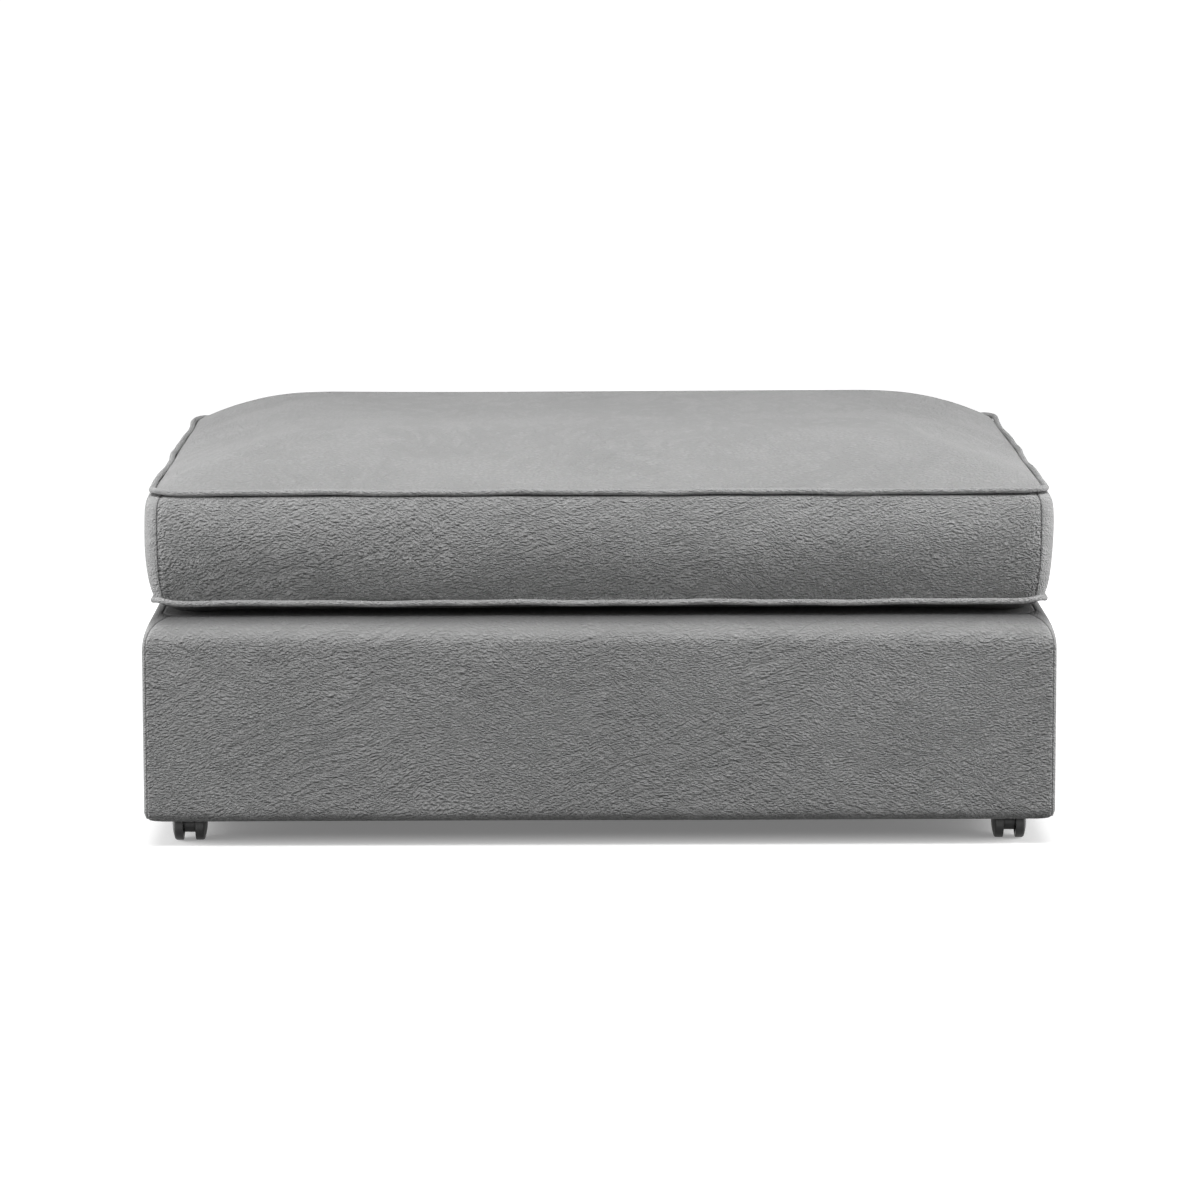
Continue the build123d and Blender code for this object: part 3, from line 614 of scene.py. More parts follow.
# %% [markdown]
# Foam and fibre are seen only where a cover is lifted off, but they carry its shape. Foam is a pale
# sponge full of small open cells, the fibre round the cushion's core is a white wadding, and felt is
# the same wadding pressed flat. All three are mixed from noise of the right size.
# %% Foam, fibre and felt


def make_filling(name, dark, light, cell_scale, depth):
    finish = Finish(name)
    point = finish.place()
    pores = finish.cells(point, cell_scale).step(0.02, 0.3)
    cloud = finish.noise(point, 12.0, 3.0)
    finish.bump(pores + finish.noise(point, cell_scale * 2, 2.0), depth, 0.7)
    colour = finish.blend(pores * 0.6 + cloud * 0.4, dark, light)
    finish.surface(Base_Color=colour, Roughness=0.9 - cloud * 0.1, Specular_IOR_Level=0.2)
    return finish.material


foam = make_filling("foam", (0.55, 0.50, 0.36, 1), (0.78, 0.73, 0.56, 1), 700.0, 0.5 * mm)
fibre = make_filling("fibre", grey(0.62, 0.02), grey(0.86, 0.01), 260.0, 1.5 * mm)
felt = make_filling("felt", grey(0.10), grey(0.30, 0.04), 420.0, 0.4 * mm)

# %% [markdown]
# The padding of the walls follows the same line up the base as the leather, a little further in. A
# slab is made from two sheets: Solidify gives the outer sheet a second one, whose points are then
# moved to the inner form. At the hem the inner sheet goes straight down beside the board.
# %% Wall padding
padding_tuck = 1.8 * mm
end_set_in, side_set_in = 8.8 * mm, 8.2 * mm
end_thickness, side_thickness = 11.4 * mm, 4.6 * mm
end_half = base_half_width - end_set_in
end_across = spread(-end_half, end_half, 20 * mm, (3 * mm, 9 * mm))


def slab_piece(name, across, along, outer, inner):
    """A closed slab between outer(column, row) and inner(column, row)."""
    sheet = grid_piece(name, across, along, inner)
    inner_points = points_of(sheet)
    bpy.data.objects.remove(sheet)
    slab = grid_piece(name, across, along, outer)
    thicken(slab, 1 * mm)
    points = points_of(slab)
    points[len(inner_points):] = inner_points
    move_points(slab, points)
    edit_whole(slab, bpy.ops.mesh.normals_make_consistent, inside=False)
    smooth(slab)
    return slab


def outer_padding_line(column, run):
    return upright_line(run, padding_tuck)


def inner_padding_line(column, run, tuck):
    inset, height = upright_line(run, tuck)
    share = np.clip(run / hem_length, 0, 1)
    low = base_bottom + padding_tuck + share * (hem_radius - padding_tuck)
    in_hem = run < hem_length
    return np.where(in_hem, tuck, inset), np.where(in_hem, low, height)


def make_padding(node, make_place, side, across, thickness, set_in):
    inner_line = partial(inner_padding_line, tuck=padding_tuck + thickness)
    outer = partial(make_place, side=side, set_in=set_in, line=outer_padding_line)
    inner = partial(make_place, side=side, set_in=set_in, line=inner_line)
    padding = slab_piece(node + "_foam", across, cover_rows[::2], outer, inner)
    finish_piece(padding, foam, "base", [node])


for node, side in (("front_padding", -1), ("rear_padding", 1)):
    make_padding(node, end_place, side, end_across, end_thickness, end_set_in)
for node, side in (("right_padding", 1), ("left_padding", -1)):
    make_padding(node, side_place, side, side_across, side_thickness, side_set_in)

# %% [markdown]
# Between the springs and the deck cover lie a felt that keeps the wires from cutting in, and a sheet
# of foam. Both are flat with rounded corners, and the foam is soft at its edge.
# %% Deck layers
layer_cell, layer_steps, edge_roll = 25 * mm, (3 * mm, 8 * mm), 3 * mm


def deck_layer(node, material, soft_edge, lift):
    low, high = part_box(node)

    def layer_place(column, row, top):
        x, y = round_corners(column, row, high.x, high.y, deck_radius)
        edge = np.minimum(high.x - np.abs(column), high.y - np.abs(row))
        crown = high.z - lift - soft_edge * np.exp(-edge / edge_roll)
        return np.column_stack([x, y, crown if top else np.full(len(x), low.z)])

    across, along = (spread(-half, half, layer_cell, layer_steps) for half in (high.x, high.y))
    top, underside = partial(layer_place, top=True), partial(layer_place, top=False)
    layer = slab_piece(node + "_layer", across, along, top, underside)
    finish_piece(layer, material, "base", [node])
    return layer


deck_foam = deck_layer("deck_foam", foam, 1.6 * mm, 0.1 * mm)
deck_felt = deck_layer("deck_insulator", felt, 0.3 * mm, 0.0)

# %% [markdown]
# The cushion is a boxed cushion: a top and a bottom panel with a band between them, called the
# boxing, and a piped seam above and below it. A block is cut into cells, finer at the edges, and its
# points are moved: the top rises into a crown, the band bulges, and the underside rolls down to the
# flat that rests on the deck.
# %% Cushion sizes
piping_low, piping_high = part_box("cushion_top_piping")
low_piping_low, low_piping_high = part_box("cushion_bottom_piping")
piping_radius = (piping_high.z - piping_low.z) / 2
top_seam = (piping_high.z + piping_low.z) / 2
bottom_seam = (low_piping_high.z + low_piping_low.z) / 2
piping_half_x, piping_half_y = piping_high.x - piping_radius, piping_high.y - piping_radius
low_half_x, low_half_y = low_piping_high.x - piping_radius, low_piping_high.y - piping_radius
seam_inside_piping = 2.3 * mm
seam_half_x, seam_half_y = piping_half_x - seam_inside_piping, piping_half_y - seam_inside_piping
cushion_corner = 28 * mm
crown_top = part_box("cushion_top_panel")[1].z
belly_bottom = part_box("cushion_bottom_panel")[0].z
band_half_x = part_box("cushion_right_boxing")[1].x + 1.0 * mm
band_half_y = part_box("cushion_rear_boxing")[1].y
boxing_seam_x = 498 * mm
zip_half, zip_slot = 430 * mm, 5 * mm
zip_middle = (top_seam + bottom_seam) / 2

# %% [markdown]
# The block has cell lines exactly at the seams between the panels and at the edges of the zip's slit.
# It is a cube primitive, whose edges are selected by their direction and subdivided, one direction at
# a time, which leaves a clean net of squares on all six sides.
# %% Cushion block
cushion_cell, corner_cell, zip_margin = 12.5 * mm, 11 * mm, 9 * mm
edge_steps = (4 * mm, seam_half_x - boxing_seam_x, 17 * mm, 26 * mm)
outer_columns = spread(-seam_half_x, -zip_half, corner_cell, edge_steps)
outer_columns = outer_columns[outer_columns <= -zip_half - zip_margin]
inner_columns = spread(-zip_half, zip_half, cushion_cell)
cushion_columns = np.concatenate([outer_columns, inner_columns, -outer_columns[::-1]])
cushion_rows = spread(-seam_half_y, seam_half_y, cushion_cell, edge_steps)
band_steps = np.array([0, 3, 7, 13, 22, 34, 46]) * mm
slot_levels = [zip_middle - zip_slot, zip_middle + zip_slot]
cushion_levels = np.array([*(bottom_seam + band_steps), *slot_levels, *(top_seam - band_steps)[::-1]])
same_place = 1e-6


def select_edges(piece, axis):
    """Select the edges that run along one axis."""
    bpy.ops.mesh.select_all(action="DESELECT")
    bpy.ops.object.mode_set(mode="OBJECT")
    points = points_of(piece)
    for edge in piece.data.edges:
        start, end = (points[v] for v in edge.vertices)
        edge.select = bool(abs(start - end)[axis] > same_place)
    bpy.ops.object.mode_set(mode="EDIT")


def cut_block(name, counts):
    """A unit cube cut into cells, as many along each axis as counts says."""
    select_only()
    bpy.ops.mesh.primitive_cube_add(size=1.0)
    block = bpy.context.object
    block.name = block.data.name = name
    bpy.ops.object.mode_set(mode="EDIT")
    bpy.ops.mesh.select_mode(type="EDGE")
    for axis, count in enumerate(counts):
        select_edges(block, axis)
        bpy.ops.mesh.subdivide(number_cuts=count - 1)
    bpy.ops.object.mode_set(mode="OBJECT")
    return block


cell_counts = [len(c) - 1 for c in (cushion_columns, cushion_rows, cushion_levels)]
cushion = cut_block("cushion", cell_counts)
cell = np.rint((points_of(cushion) + 0.5) * cell_counts).astype(int)
flat_x, flat_y, level = cushion_columns[cell[:, 0]], cushion_rows[cell[:, 1]], cushion_levels[cell[:, 2]]
on_top, on_bottom = cell[:, 2] == cell_counts[2], cell[:, 2] == 0
at_side_x = np.abs(np.abs(flat_x) - seam_half_x) < same_place
at_side_y = np.abs(np.abs(flat_y) - seam_half_y) < same_place
at_side = at_side_x | at_side_y
print("cushion block has", len(cell), "points")

# %% [markdown]
# The form follows the photograph. Measured on its outline, the band leaves the upper seam quickly
# and comes back to the lower one slowly, so each end of the band has its own short curve.
# %% Cushion form
crown_roll, crown_power, crown_squareness = 175 * mm, 2.2, 9
belly_roll, seam_roll, swelling_roll = 36 * mm, 3 * mm, 0.1
top_pull, bottom_pull = 6 * mm, 21 * mm
swelling = 4 * mm


def crown_share(x, y, roll):
    """0 at the seam and 1 where the crown is level, with soft corners."""
    left_x = np.clip(1 - (seam_half_x - np.abs(x)) / roll, 0, 1)
    left_y = np.clip(1 - (seam_half_y - np.abs(y)) / roll, 0, 1)
    left = (left_x**crown_squareness + left_y**crown_squareness) ** (1 / crown_squareness)
    return 1 - np.clip(left, 0, 1) ** crown_power


def band_inset(height):
    """How far the band stands in from its widest place, as a share from 0 to 1."""
    return np.exp(-(top_seam - height) / top_pull) + np.exp(-(height - bottom_seam) / bottom_pull)


def ripple(y, outward_x):
    """How far the seams wander in and out along the left and the right side."""
    wander = 1.3 * mm * np.sin(y * 19.0 + 0.6) + 0.5 * mm * np.sin(y * 37.0 + 2.0)
    return wander * np.abs(outward_x) * np.clip((seam_half_y - np.abs(y)) / (50 * mm), 0, 1)


def outward(x, y):
    """Level direction away from the middle at the cushion's edge, turning round its corners."""
    over_x = np.clip(np.abs(x) - seam_half_x + cushion_corner, 0, None)
    over_y = np.clip(np.abs(y) - seam_half_y + cushion_corner, 0, None)
    corner = (over_x > 0) & (over_y > 0)
    along_x = np.abs(np.abs(x) - seam_half_x) < same_place
    nx = np.where(corner, over_x, np.where(along_x, 1.0, 0.0))
    ny = np.where(corner, over_y, np.where(along_x, 0.0, 1.0))
    length = np.hypot(nx, ny)
    return np.sign(x) * nx / length, np.sign(y) * ny / length


def cushion_form(room=0.0):
    """Points of the cushion, drawn in by the room left for swelling."""
    x, y = round_corners(flat_x, flat_y, seam_half_x, seam_half_y, cushion_corner)
    inside = np.minimum(seam_half_x - np.abs(flat_x), seam_half_y - np.abs(flat_y))
    rise = crown_top - top_seam - seam_roll
    lift = rise * crown_share(flat_x, flat_y, crown_roll) + seam_roll * (1 - np.exp(-inside / seam_roll))
    sink = (bottom_seam - belly_bottom) * crown_share(flat_x, flat_y, belly_roll)
    z = level + np.where(on_top, lift - room * crown_share(flat_x, flat_y, swelling_roll), 0)
    z = z - np.where(on_bottom, sink, 0)
    bulge = 1 - np.clip(band_inset(level), 0, 1)
    nx, ny = outward(x, y)
    reach = bulge * (np.abs(nx) * (band_half_x - seam_half_x) + np.abs(ny) * (band_half_y - seam_half_y))
    reach = reach - room * 0.5 * bulge + ripple(y, nx)
    x = x + np.where(at_side, nx * reach, 0)
    y = y + np.where(at_side, ny * reach, 0)
    return np.column_stack([x, y, z])


# %% [markdown]
# A filled cushion is tight: its padding presses the leather out between the seams. The cloth
# simulation does the same with a little pressure. The two seam lines are pinned, as the cord in the
# piping holds them, and no point may move further than the room left for it.
# %% Cushion cloth
cloth_frames = 20
cloth_settings = {
    "quality": 5,
    "mass": 0.4,
    "tension_stiffness": 40,
    "compression_stiffness": 40,
    "shear_stiffness": 20,
    "bending_stiffness": 4,
    "use_pressure": True,
    "uniform_pressure_force": 4.0,
    "vertex_group_mass": "seams",
}


def swell_by_cloth(piece, pinned, cap):
    """Let air pressure swell a closed mesh, and keep each point within the cap."""
    before = points_of(piece)
    group = piece.vertex_groups.new(name=cloth_settings["vertex_group_mass"])
    group.add([int(i) for i in np.flatnonzero(pinned)], 1.0, "REPLACE")
    select_only(piece)
    cloth = piece.modifiers.new("cloth", "CLOTH")
    for key, value in cloth_settings.items():
        setattr(cloth.settings, key, value)
    cloth.settings.effector_weights.gravity = 0
    cloth.collision_settings.use_self_collision = False
    cloth.collision_settings.use_collision = False
    cloth.point_cache.frame_start, cloth.point_cache.frame_end = 1, cloth_frames
    for number in range(1, cloth_frames + 1):
        bpy.context.scene.frame_set(number)
    bpy.ops.object.modifier_apply(modifier=cloth.name)
    bpy.context.scene.frame_set(1)
    piece.vertex_groups.clear()
    moved = points_of(piece) - before
    length = np.linalg.norm(moved, axis=1)[:, None]
    moved = moved * np.minimum(1, cap / np.maximum(length, 1e-9))
    move_points(piece, before + moved)


move_points(cushion, cushion_form(swelling))
swell_by_cloth(cushion, at_side & (on_top | on_bottom), swelling)

# %% [markdown]
# A boxed cushion is sewn from panels: the top, the underside, and a band in four lengths whose side
# pieces wrap the corners. The faces of each panel are picked by their place on the block and
# separated, so that every panel ends exactly on a seam line that it shares with its neighbours. The
# rear band is slit for the zip.
# %% Cushion panels


def delete_faces(piece, chosen):
    """Delete the faces of a piece for which chosen is true."""
    select_only(piece)
    bpy.ops.object.mode_set(mode="EDIT")
    bpy.ops.mesh.select_mode(type="FACE")
    bpy.ops.mesh.select_all(action="DESELECT")
    bpy.ops.object.mode_set(mode="OBJECT")
    piece.data.polygons.foreach_set("select", np.asarray(chosen, bool))
    bpy.ops.object.mode_set(mode="EDIT")
    bpy.ops.mesh.delete(type="FACE")
    bpy.ops.object.mode_set(mode="OBJECT")


def face_middles(piece, values):
    """The mean of a value at each face's corners."""
    return np.array([values[list(face.vertices)].mean() for face in piece.data.polygons])


def cut_panel(node, chosen):
    """A copy of the cushion with every face but the panel's own deleted."""
    panel = cushion.copy()
    panel.data = cushion.data.copy()
    panel.name = panel.data.name = node + "_leather"
    bpy.context.scene.collection.objects.link(panel)
    delete_faces(panel, ~chosen)
    return panel


face_level = face_middles(cushion, cell[:, 2].astype(float))
face_x, face_y = face_middles(cushion, flat_x), face_middles(cushion, flat_y)
is_top, is_bottom = face_level > cell_counts[2] - 0.25, face_level < 0.25
is_end = (np.abs(np.abs(face_y) - seam_half_y) < 0.1 * mm) & (np.abs(face_x) < boxing_seam_x)
is_band = ~is_top & ~is_bottom
in_slot = (np.abs(face_x) < zip_half) & (np.abs(face_middles(cushion, level) - zip_middle) < zip_slot)
panel_faces = {
    "cushion_top_panel": is_top,
    "cushion_bottom_panel": is_bottom,
    "cushion_front_boxing": is_band & is_end & (face_y < 0),
    "cushion_rear_boxing": is_band & is_end & (face_y > 0) & ~in_slot,
    "cushion_right_boxing": is_band & ~is_end & (face_x > 0),
    "cushion_left_boxing": is_band & ~is_end & (face_x < 0),
}
panels = {node: cut_panel(node, chosen) for node, chosen in panel_faces.items()}

# %% [markdown]
# Each panel is subdivided once, which rounds the grid's facets. Its border then dips inwards, because
# sewn edges turn under, the band has a crevice under the upper piping, and the front band gets the
# shallow dimples that the photograph shows. Each dimple has a place, a width, a height and a depth.
# %% Sew the panels
border_turn_in = [2.2, 0.3, 0.05, 0.0]
boxing_turn_in, clear_of_piping = 0.35, 4
crevice_below, crevice_depth = [0, 1.5, 3, 5, 7], [0, 1.2, 1.7, 0.5, 0]
painted_shade_below = [4.2, 6]
beside_seam = 0.12
front_dimples = (
    (-171 * mm, 350 * mm, 26 * mm, 40 * mm, 1.5 * mm),
    (68 * mm, 346 * mm, 34 * mm, 36 * mm, 1.2 * mm),
    (-20 * mm, 318 * mm, 60 * mm, 16 * mm, 0.6 * mm),
)


def sew_panel(piece, is_boxing, dimples=()):
    apply_modifier(piece, "SUBSURF", levels=1, render_levels=1, boundary_smooth="PRESERVE_CORNERS")
    ring = border_rings(piece)
    drawn = np.choose(ring, border_turn_in) * mm
    points, normals = points_of(piece), normals_of(piece)
    below, above = (top_seam - points[:, 2]) / mm, (points[:, 2] - bottom_seam) / mm
    painted_crevice_shade = 0.0
    if is_boxing:
        upright = (below > clear_of_piping) & (above > clear_of_piping)
        drawn = np.where(upright, drawn * boxing_turn_in, drawn)
        drawn = drawn + np.interp(below, crevice_below, crevice_depth) * mm
        # Painted shade: the band is darkened just under the upper piping, in its crevice.
        painted_crevice_shade = np.interp(below, painted_shade_below, [1, 0])
    # Painted shade along the panel's seams.
    mark_seams(piece, ring, beside_seam, painted_crevice_shade)
    for x, z, wide, tall, deep in dimples:
        far = ((points[:, 0] - x) / wide) ** 2 + ((points[:, 2] - z) / tall) ** 2
        drawn = drawn + deep * np.exp(-far)
    wave = swell(points[:, 0] * 2.3, points[:, 1] * 2.3 + points[:, 2] * 4, 0.8 * mm, 1.7)
    drawn = drawn + wave * (ring == ring_depth)
    move_points(piece, points - normals * drawn[:, None])
    thicken(piece, cover_thickness)
    smooth(piece)


panel_leathers = {
    "cushion_top_panel": top_leather,
    "cushion_bottom_panel": dark_hide_and_gap_shade,
    "cushion_right_boxing": band_side_leather,
    "cushion_left_boxing": band_side_leather,
}
for node, panel in panels.items():
    sew_panel(panel, "boxing" in node, front_dimples if node == "cushion_front_boxing" else ())
    finish_piece(panel, panel_leathers.get(node, band_leather), "cushion", [node])

# %% [markdown]
# The piping is a cord in a strip of the same leather, sewn between the panels. It follows the
# seam round the cushion, never quite straight, and stands out a little at the corners, where four
# layers of leather meet. A strip of grid is rolled into a tube along that line.
# %% Piping
corner_reach = 17 * mm
straight_step, corner_step, long_leg = 8 * mm, 2.6 * mm, 0.1
tube_sides = 12


def piping_line(run, half_x, half_y, height, corner_out, corner_up):
    """Places along a piping, the outward direction at each, and where its nine legs end."""
    centre_x, centre_y = half_x - cushion_corner, half_y - cushion_corner
    arc = quarter * cushion_corner
    round_end = [arc, 2 * centre_y, arc]
    lengths = np.array([centre_x, *round_end, 2 * centre_x, *round_end, centre_x])
    ends = np.concatenate([[0], np.cumsum(lengths)])
    run = np.clip(run, 0, ends[-1])
    leg = np.clip(np.searchsorted(ends, run, side="right") - 1, 0, len(lengths) - 1)
    share = (run - ends[leg]) / lengths[leg]
    in_corner = leg % 2 == 1
    turn = -quarter + quarter * ((leg + 1) // 2 + np.where(in_corner, share - 1, 0))
    nx, ny = np.cos(turn), np.sin(turn)
    along = np.where(in_corner, 0, share * lengths[leg])
    leg_x = np.choose(leg, [0, 1, 1, 1, 1, -1, -1, -1, -1]) * centre_x
    leg_y = np.choose(leg, [-1, -1, -1, 1, 1, 1, 1, -1, -1]) * centre_y
    x = leg_x + cushion_corner * nx - ny * along
    y = leg_y + cushion_corner * ny + nx * along
    middles = (ends[1:8:2] + ends[2:9:2])[:, None] / 2
    near = np.exp(-(((run[None, :] - middles) / corner_reach) ** 2)).sum(axis=0)
    wave = 0.35 * mm * np.sin(run * 31.0) + 0.3 * mm * np.sin(run * 71.0 + 1.3)
    lift = 0.5 * mm * np.sin(run * 23.0 + height * 40) + 0.35 * mm * np.sin(run * 57.0 + 0.7)
    out = wave + corner_out * near + ripple(y, nx)
    z = height + lift + corner_up * near
    return np.column_stack([x + nx * out, y + ny * out, z]), np.column_stack([nx, ny, 0 * nx]), ends


def make_piping(node, half_x, half_y, height, corner_out, corner_up):
    line = partial(
        piping_line, half_x=half_x, half_y=half_y, height=height, corner_out=corner_out, corner_up=corner_up
    )
    ends = line(np.zeros(1))[2]
    legs = []
    for start, end in zip(ends[:-1], ends[1:]):
        step = straight_step if end - start > long_leg else corner_step
        legs.append(np.linspace(start, end, max(2, round((end - start) / step)) + 1))

    def place(run, turn):
        centre, out, _ = line(run)
        up = np.array([[0.0, 0.0, 1.0]])
        ring = piping_radius * (1 + 0.04 * np.sin(run * 260.0) * np.sin(run * 47.0))
        return centre + ring[:, None] * (np.cos(turn)[:, None] * out + np.sin(turn)[:, None] * up)

    runs, turns = np.unique(np.concatenate(legs)), np.linspace(0, 2 * math.pi, tube_sides + 1)
    piping = grid_piece(node + "_leather", runs, turns, place, closed=True)
    smooth(piping, 60)
    finish_piece(piping, piping_leather, "cushion", [node])


make_piping("cushion_top_piping", piping_half_x, piping_half_y, top_seam, 0.8 * mm, 1.8 * mm)
make_piping("cushion_bottom_piping", low_half_x, low_half_y, bottom_seam, 1.2 * mm, 3.6 * mm)

# %% [markdown]
# The core of the cushion is one block of foam. Its corners are rounded in plan and its edges are
# bevelled, as the saw and the wrap leave them.
# %% Foam core
core_low, core_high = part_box("cushion_foam_core")
core_corner, under_crown, core_bevel = 25 * mm, 8 * mm, 5 * mm


def core_block(name, counts, gap):
    """A rounded block the size of the foam, larger by a gap all round and below the crown."""
    block = cut_block(name, counts)
    share = points_of(block) + 0.5
    half_x, half_y = core_high.x + gap, core_high.y + gap
    flat_x, flat_y = (share[:, 0] * 2 - 1) * half_x, (share[:, 1] * 2 - 1) * half_y
    x, y = round_corners(flat_x, flat_y, half_x, half_y, core_corner)
    crown = top_seam + (crown_top - top_seam) * crown_share(x, y, crown_roll)
    top = np.minimum(core_high.z, crown - under_crown) + gap
    z = core_low.z - gap + share[:, 2] * (top - core_low.z + gap)
    move_points(block, np.column_stack([x, y, z]))
    return block


core = core_block("cushion_core_foam", (36, 26, 8), 0.0)
sharp = math.radians(50)
apply_modifier(core, "BEVEL", width=core_bevel, segments=3, limit_method="ANGLE", angle_limit=sharp)
smooth(core)
finish_piece(core, foam, "cushion", ["cushion_foam_core"])

# %% [markdown]
# The fibre wrap fills what is left between the foam and the leather. Its outer side is the cushion's
# own form drawn in by a few millimetres, and its inner side is a hollow the size of the foam, whose
# faces look into the hollow. Joined, the two are one closed wadding.
# %% Fibre wrap
wrap_tuck, wrap_gap = 3.4 * mm, 0.4 * mm


def join_pieces(first, second, name):
    select_only(first, second)
    bpy.ops.object.join()
    first.name = first.data.name = name
    return first


edit_whole(cushion, bpy.ops.mesh.normals_make_consistent, inside=False)
move_points(cushion, points_of(cushion) - normals_of(cushion) * wrap_tuck)
hollow = core_block("cushion_hollow", (36, 26, 4), wrap_gap)
hollow.data.flip_normals()
wrap = join_pieces(cushion, hollow, "cushion_fibre")
smooth(wrap)
finish_piece(wrap, fibre, "cushion", ["cushion_fibre_wrap"])

# %% [markdown]
# The zip lies behind the slit in the rear band: two strips of woven tape, and between them a coil
# of nylon whose turns hook into each other.
# %% Zip tapes
tape_low, tape_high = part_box("zip_tape")
tape_wall, tape_gap = 0.7 * mm, 0.8 * mm
tape_face = tape_low.y + tape_wall


def make_zip_cloth():
    finish = Finish("zip_cloth")
    point = finish.stretch(finish.place(), (1500.0, 1500.0, 900.0), (0, math.radians(35), 0))
    twill = finish.node("TexWave", {"wave_type": "BANDS"}, {"Vector": point, "Scale": 0.3}, "Fac")
    finish.bump(twill, 0.15 * mm, 0.6)
    colour = finish.blend(twill * 0.7 + finish.noise(finish.place(), 90.0) * 0.3, grey(0.12), grey(0.24))
    finish.surface(Base_Color=colour, Roughness=0.85 - twill * 0.1)
    return finish.material


def make_tape(side):
    edge, seam = zip_middle + side * tape_gap, zip_middle + side * (tape_high.z - zip_middle)

    def place(column, row):
        pucker = 0.12 * mm * np.sin(column * 260.0) * np.abs(row - edge) / abs(seam - edge)
        return np.column_stack([column, tape_face - np.abs(pucker), row])

    rows = np.linspace(min(edge, seam), max(edge, seam), 5)
    tape = grid_piece("tape", spread(tape_low.x, tape_high.x, 6 * mm), rows, place)
    tape.data.flip_normals()
    thicken(tape, tape_wall)
    return tape


tapes = join_pieces(make_tape(1), make_tape(-1), "zip_tapes")
finish_piece(tapes, make_zip_cloth(), "cushion", ["zip_tape"])

# %% [markdown]
# One turn of the coil is a small torus with few faces, stood on edge and made oval, and an array
# repeats it along the tape. The lower row is set over by half a step.
# %% Zip coil
coil_reach, coil_step, coil_half_height = 2.5 * mm, 1.8 * mm, 1.6 * mm
coil_middle, coil_depth = (tape_face + tape_high.y) / 2, (tape_high.y - tape_face) / 2
coil_half = zip_half - 0.5 * mm
coil_count = int((2 * coil_half - 1.5 * mm) / coil_step)
torus = {"major_segments": 8, "minor_segments": 4, "major_radius": 1.0 * mm, "minor_radius": 0.32 * mm}


def make_nylon():
    finish = Finish("coil_nylon")
    cloud = finish.noise(finish.place(), 300.0)
    finish.surface(Base_Color=finish.blend(cloud, grey(0.13), grey(0.2)), Roughness=0.35 + cloud * 0.1)
    finish.bump(cloud, 0.05 * mm, 0.4)
    return finish.material


def make_coil_row(side):
    select_only()
    bpy.ops.mesh.primitive_torus_add(**torus)
    turn = bpy.context.object
    x, y, z = points_of(turn).T
    reach = np.abs(x).max()
    start = -coil_half + (1 + side) / 4 * coil_step + 0.4 * mm
    up = y / reach * coil_half_height + (zip_middle + side * (coil_reach - coil_half_height))
    move_points(turn, np.column_stack([z + start, coil_middle + x / reach * coil_depth, up]))
    apply_modifier(
        turn, "ARRAY", count=coil_count, use_relative_offset=False, use_constant_offset=True,
        constant_offset_displace=(coil_step, 0.0, 0.0),
    )
    return turn


coil = join_pieces(make_coil_row(1), make_coil_row(-1), "zip_coil")
smooth(coil, 80)
finish_piece(coil, make_nylon(), "cushion", ["zip_tape"])

# %% [markdown]
# A thin black cloth closes the underside against dust. It is stapled to the rails, hangs through a
# little between them, and has a square cut out round each caster plate. The grid has lines exactly
# at the edges of those squares, so the cut is made by deleting faces.
# %% Dust cover
cloth_low, cloth_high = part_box("dust_cover")
plate_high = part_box("caster_plates")[1]
plate_width, cut_margin, cloth_cell = 38 * mm, 3 * mm, 14 * mm
bay_middle, bay_half_width, bay_half_depth = 250 * mm, 239 * mm, 356 * mm
cloth_sag, cloth_crease = 2.4 * mm, 0.25 * mm


def lines_with_cuts(end, plate_end):
    outer_cut, inner_cut = plate_end + cut_margin, plate_end - plate_width - cut_margin
    middle = np.linspace(-inner_cut, inner_cut, max(3, round(inner_cut / cloth_cell)))
    window = np.linspace(inner_cut, outer_cut, 4)[1:]
    return np.concatenate([[-end], -window[::-1], middle, window, [end]])


def place_cloth(column, row):
    along = np.clip(1 - ((np.abs(column) - bay_middle) / bay_half_width) ** 2, 0, 1)
    across = np.clip(1 - (row / bay_half_depth) ** 2, 0, 1)
    sag = cloth_sag * along * across
    crease = cloth_crease * np.sin(column * 43.0 + row * 31.0) * along * across
    return np.column_stack([column, row, cloth_high.z - sag - np.abs(crease)])


def near_plate(axis):
    """Whether each face of the dust cloth is beside a caster plate along one axis."""
    middles = face_middles(dust_cloth, np.abs(points_of(dust_cloth)[:, axis]))
    return np.abs(middles - plate_high[axis] + plate_width / 2) < plate_width / 2 + cut_margin


def make_dust_finish():
    finish = Finish("dust_cloth")
    point = finish.place()
    dots = finish.cells(point, 600.0, "F1").step(0.15, 0.35)
    fibres = finish.noise(finish.stretch(point, (900.0, 300.0, 300.0)), 1.0, 3.0)
    finish.bump(dots + fibres * 0.6, 0.2 * mm, 0.6)
    colour = finish.blend(fibres * 0.5 + dots * 0.5, grey(0.012), grey(0.035))
    finish.surface(Base_Color=colour, Roughness=0.9 - fibres * 0.15)
    return finish.material


cloth_columns, cloth_rows = (lines_with_cuts(cloth_high[axis], plate_high[axis]) for axis in (0, 1))
dust_cloth = grid_piece("dust_cloth", cloth_columns, cloth_rows, place_cloth)
delete_faces(dust_cloth, near_plate(0) & near_plate(1))
thicken(dust_cloth, cloth_high.z - cloth_low.z)
smooth(dust_cloth)
finish_piece(dust_cloth, make_dust_finish(), "base", ["dust_cover"])

# %% [markdown]
# The frame is sawn hardwood. Its grain is a noise stretched along the length of each piece, which
# for the rails depends on the side of the frame, for the posts is upright, and its colour comes from
# the same noise as its bump, so light and dark lines lie in their own grooves.
# %% Hardwood
fine, coarse = 70.0, 3.0
rail_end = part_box("corner_posts")[1].x
change_over = 0.05 * mm


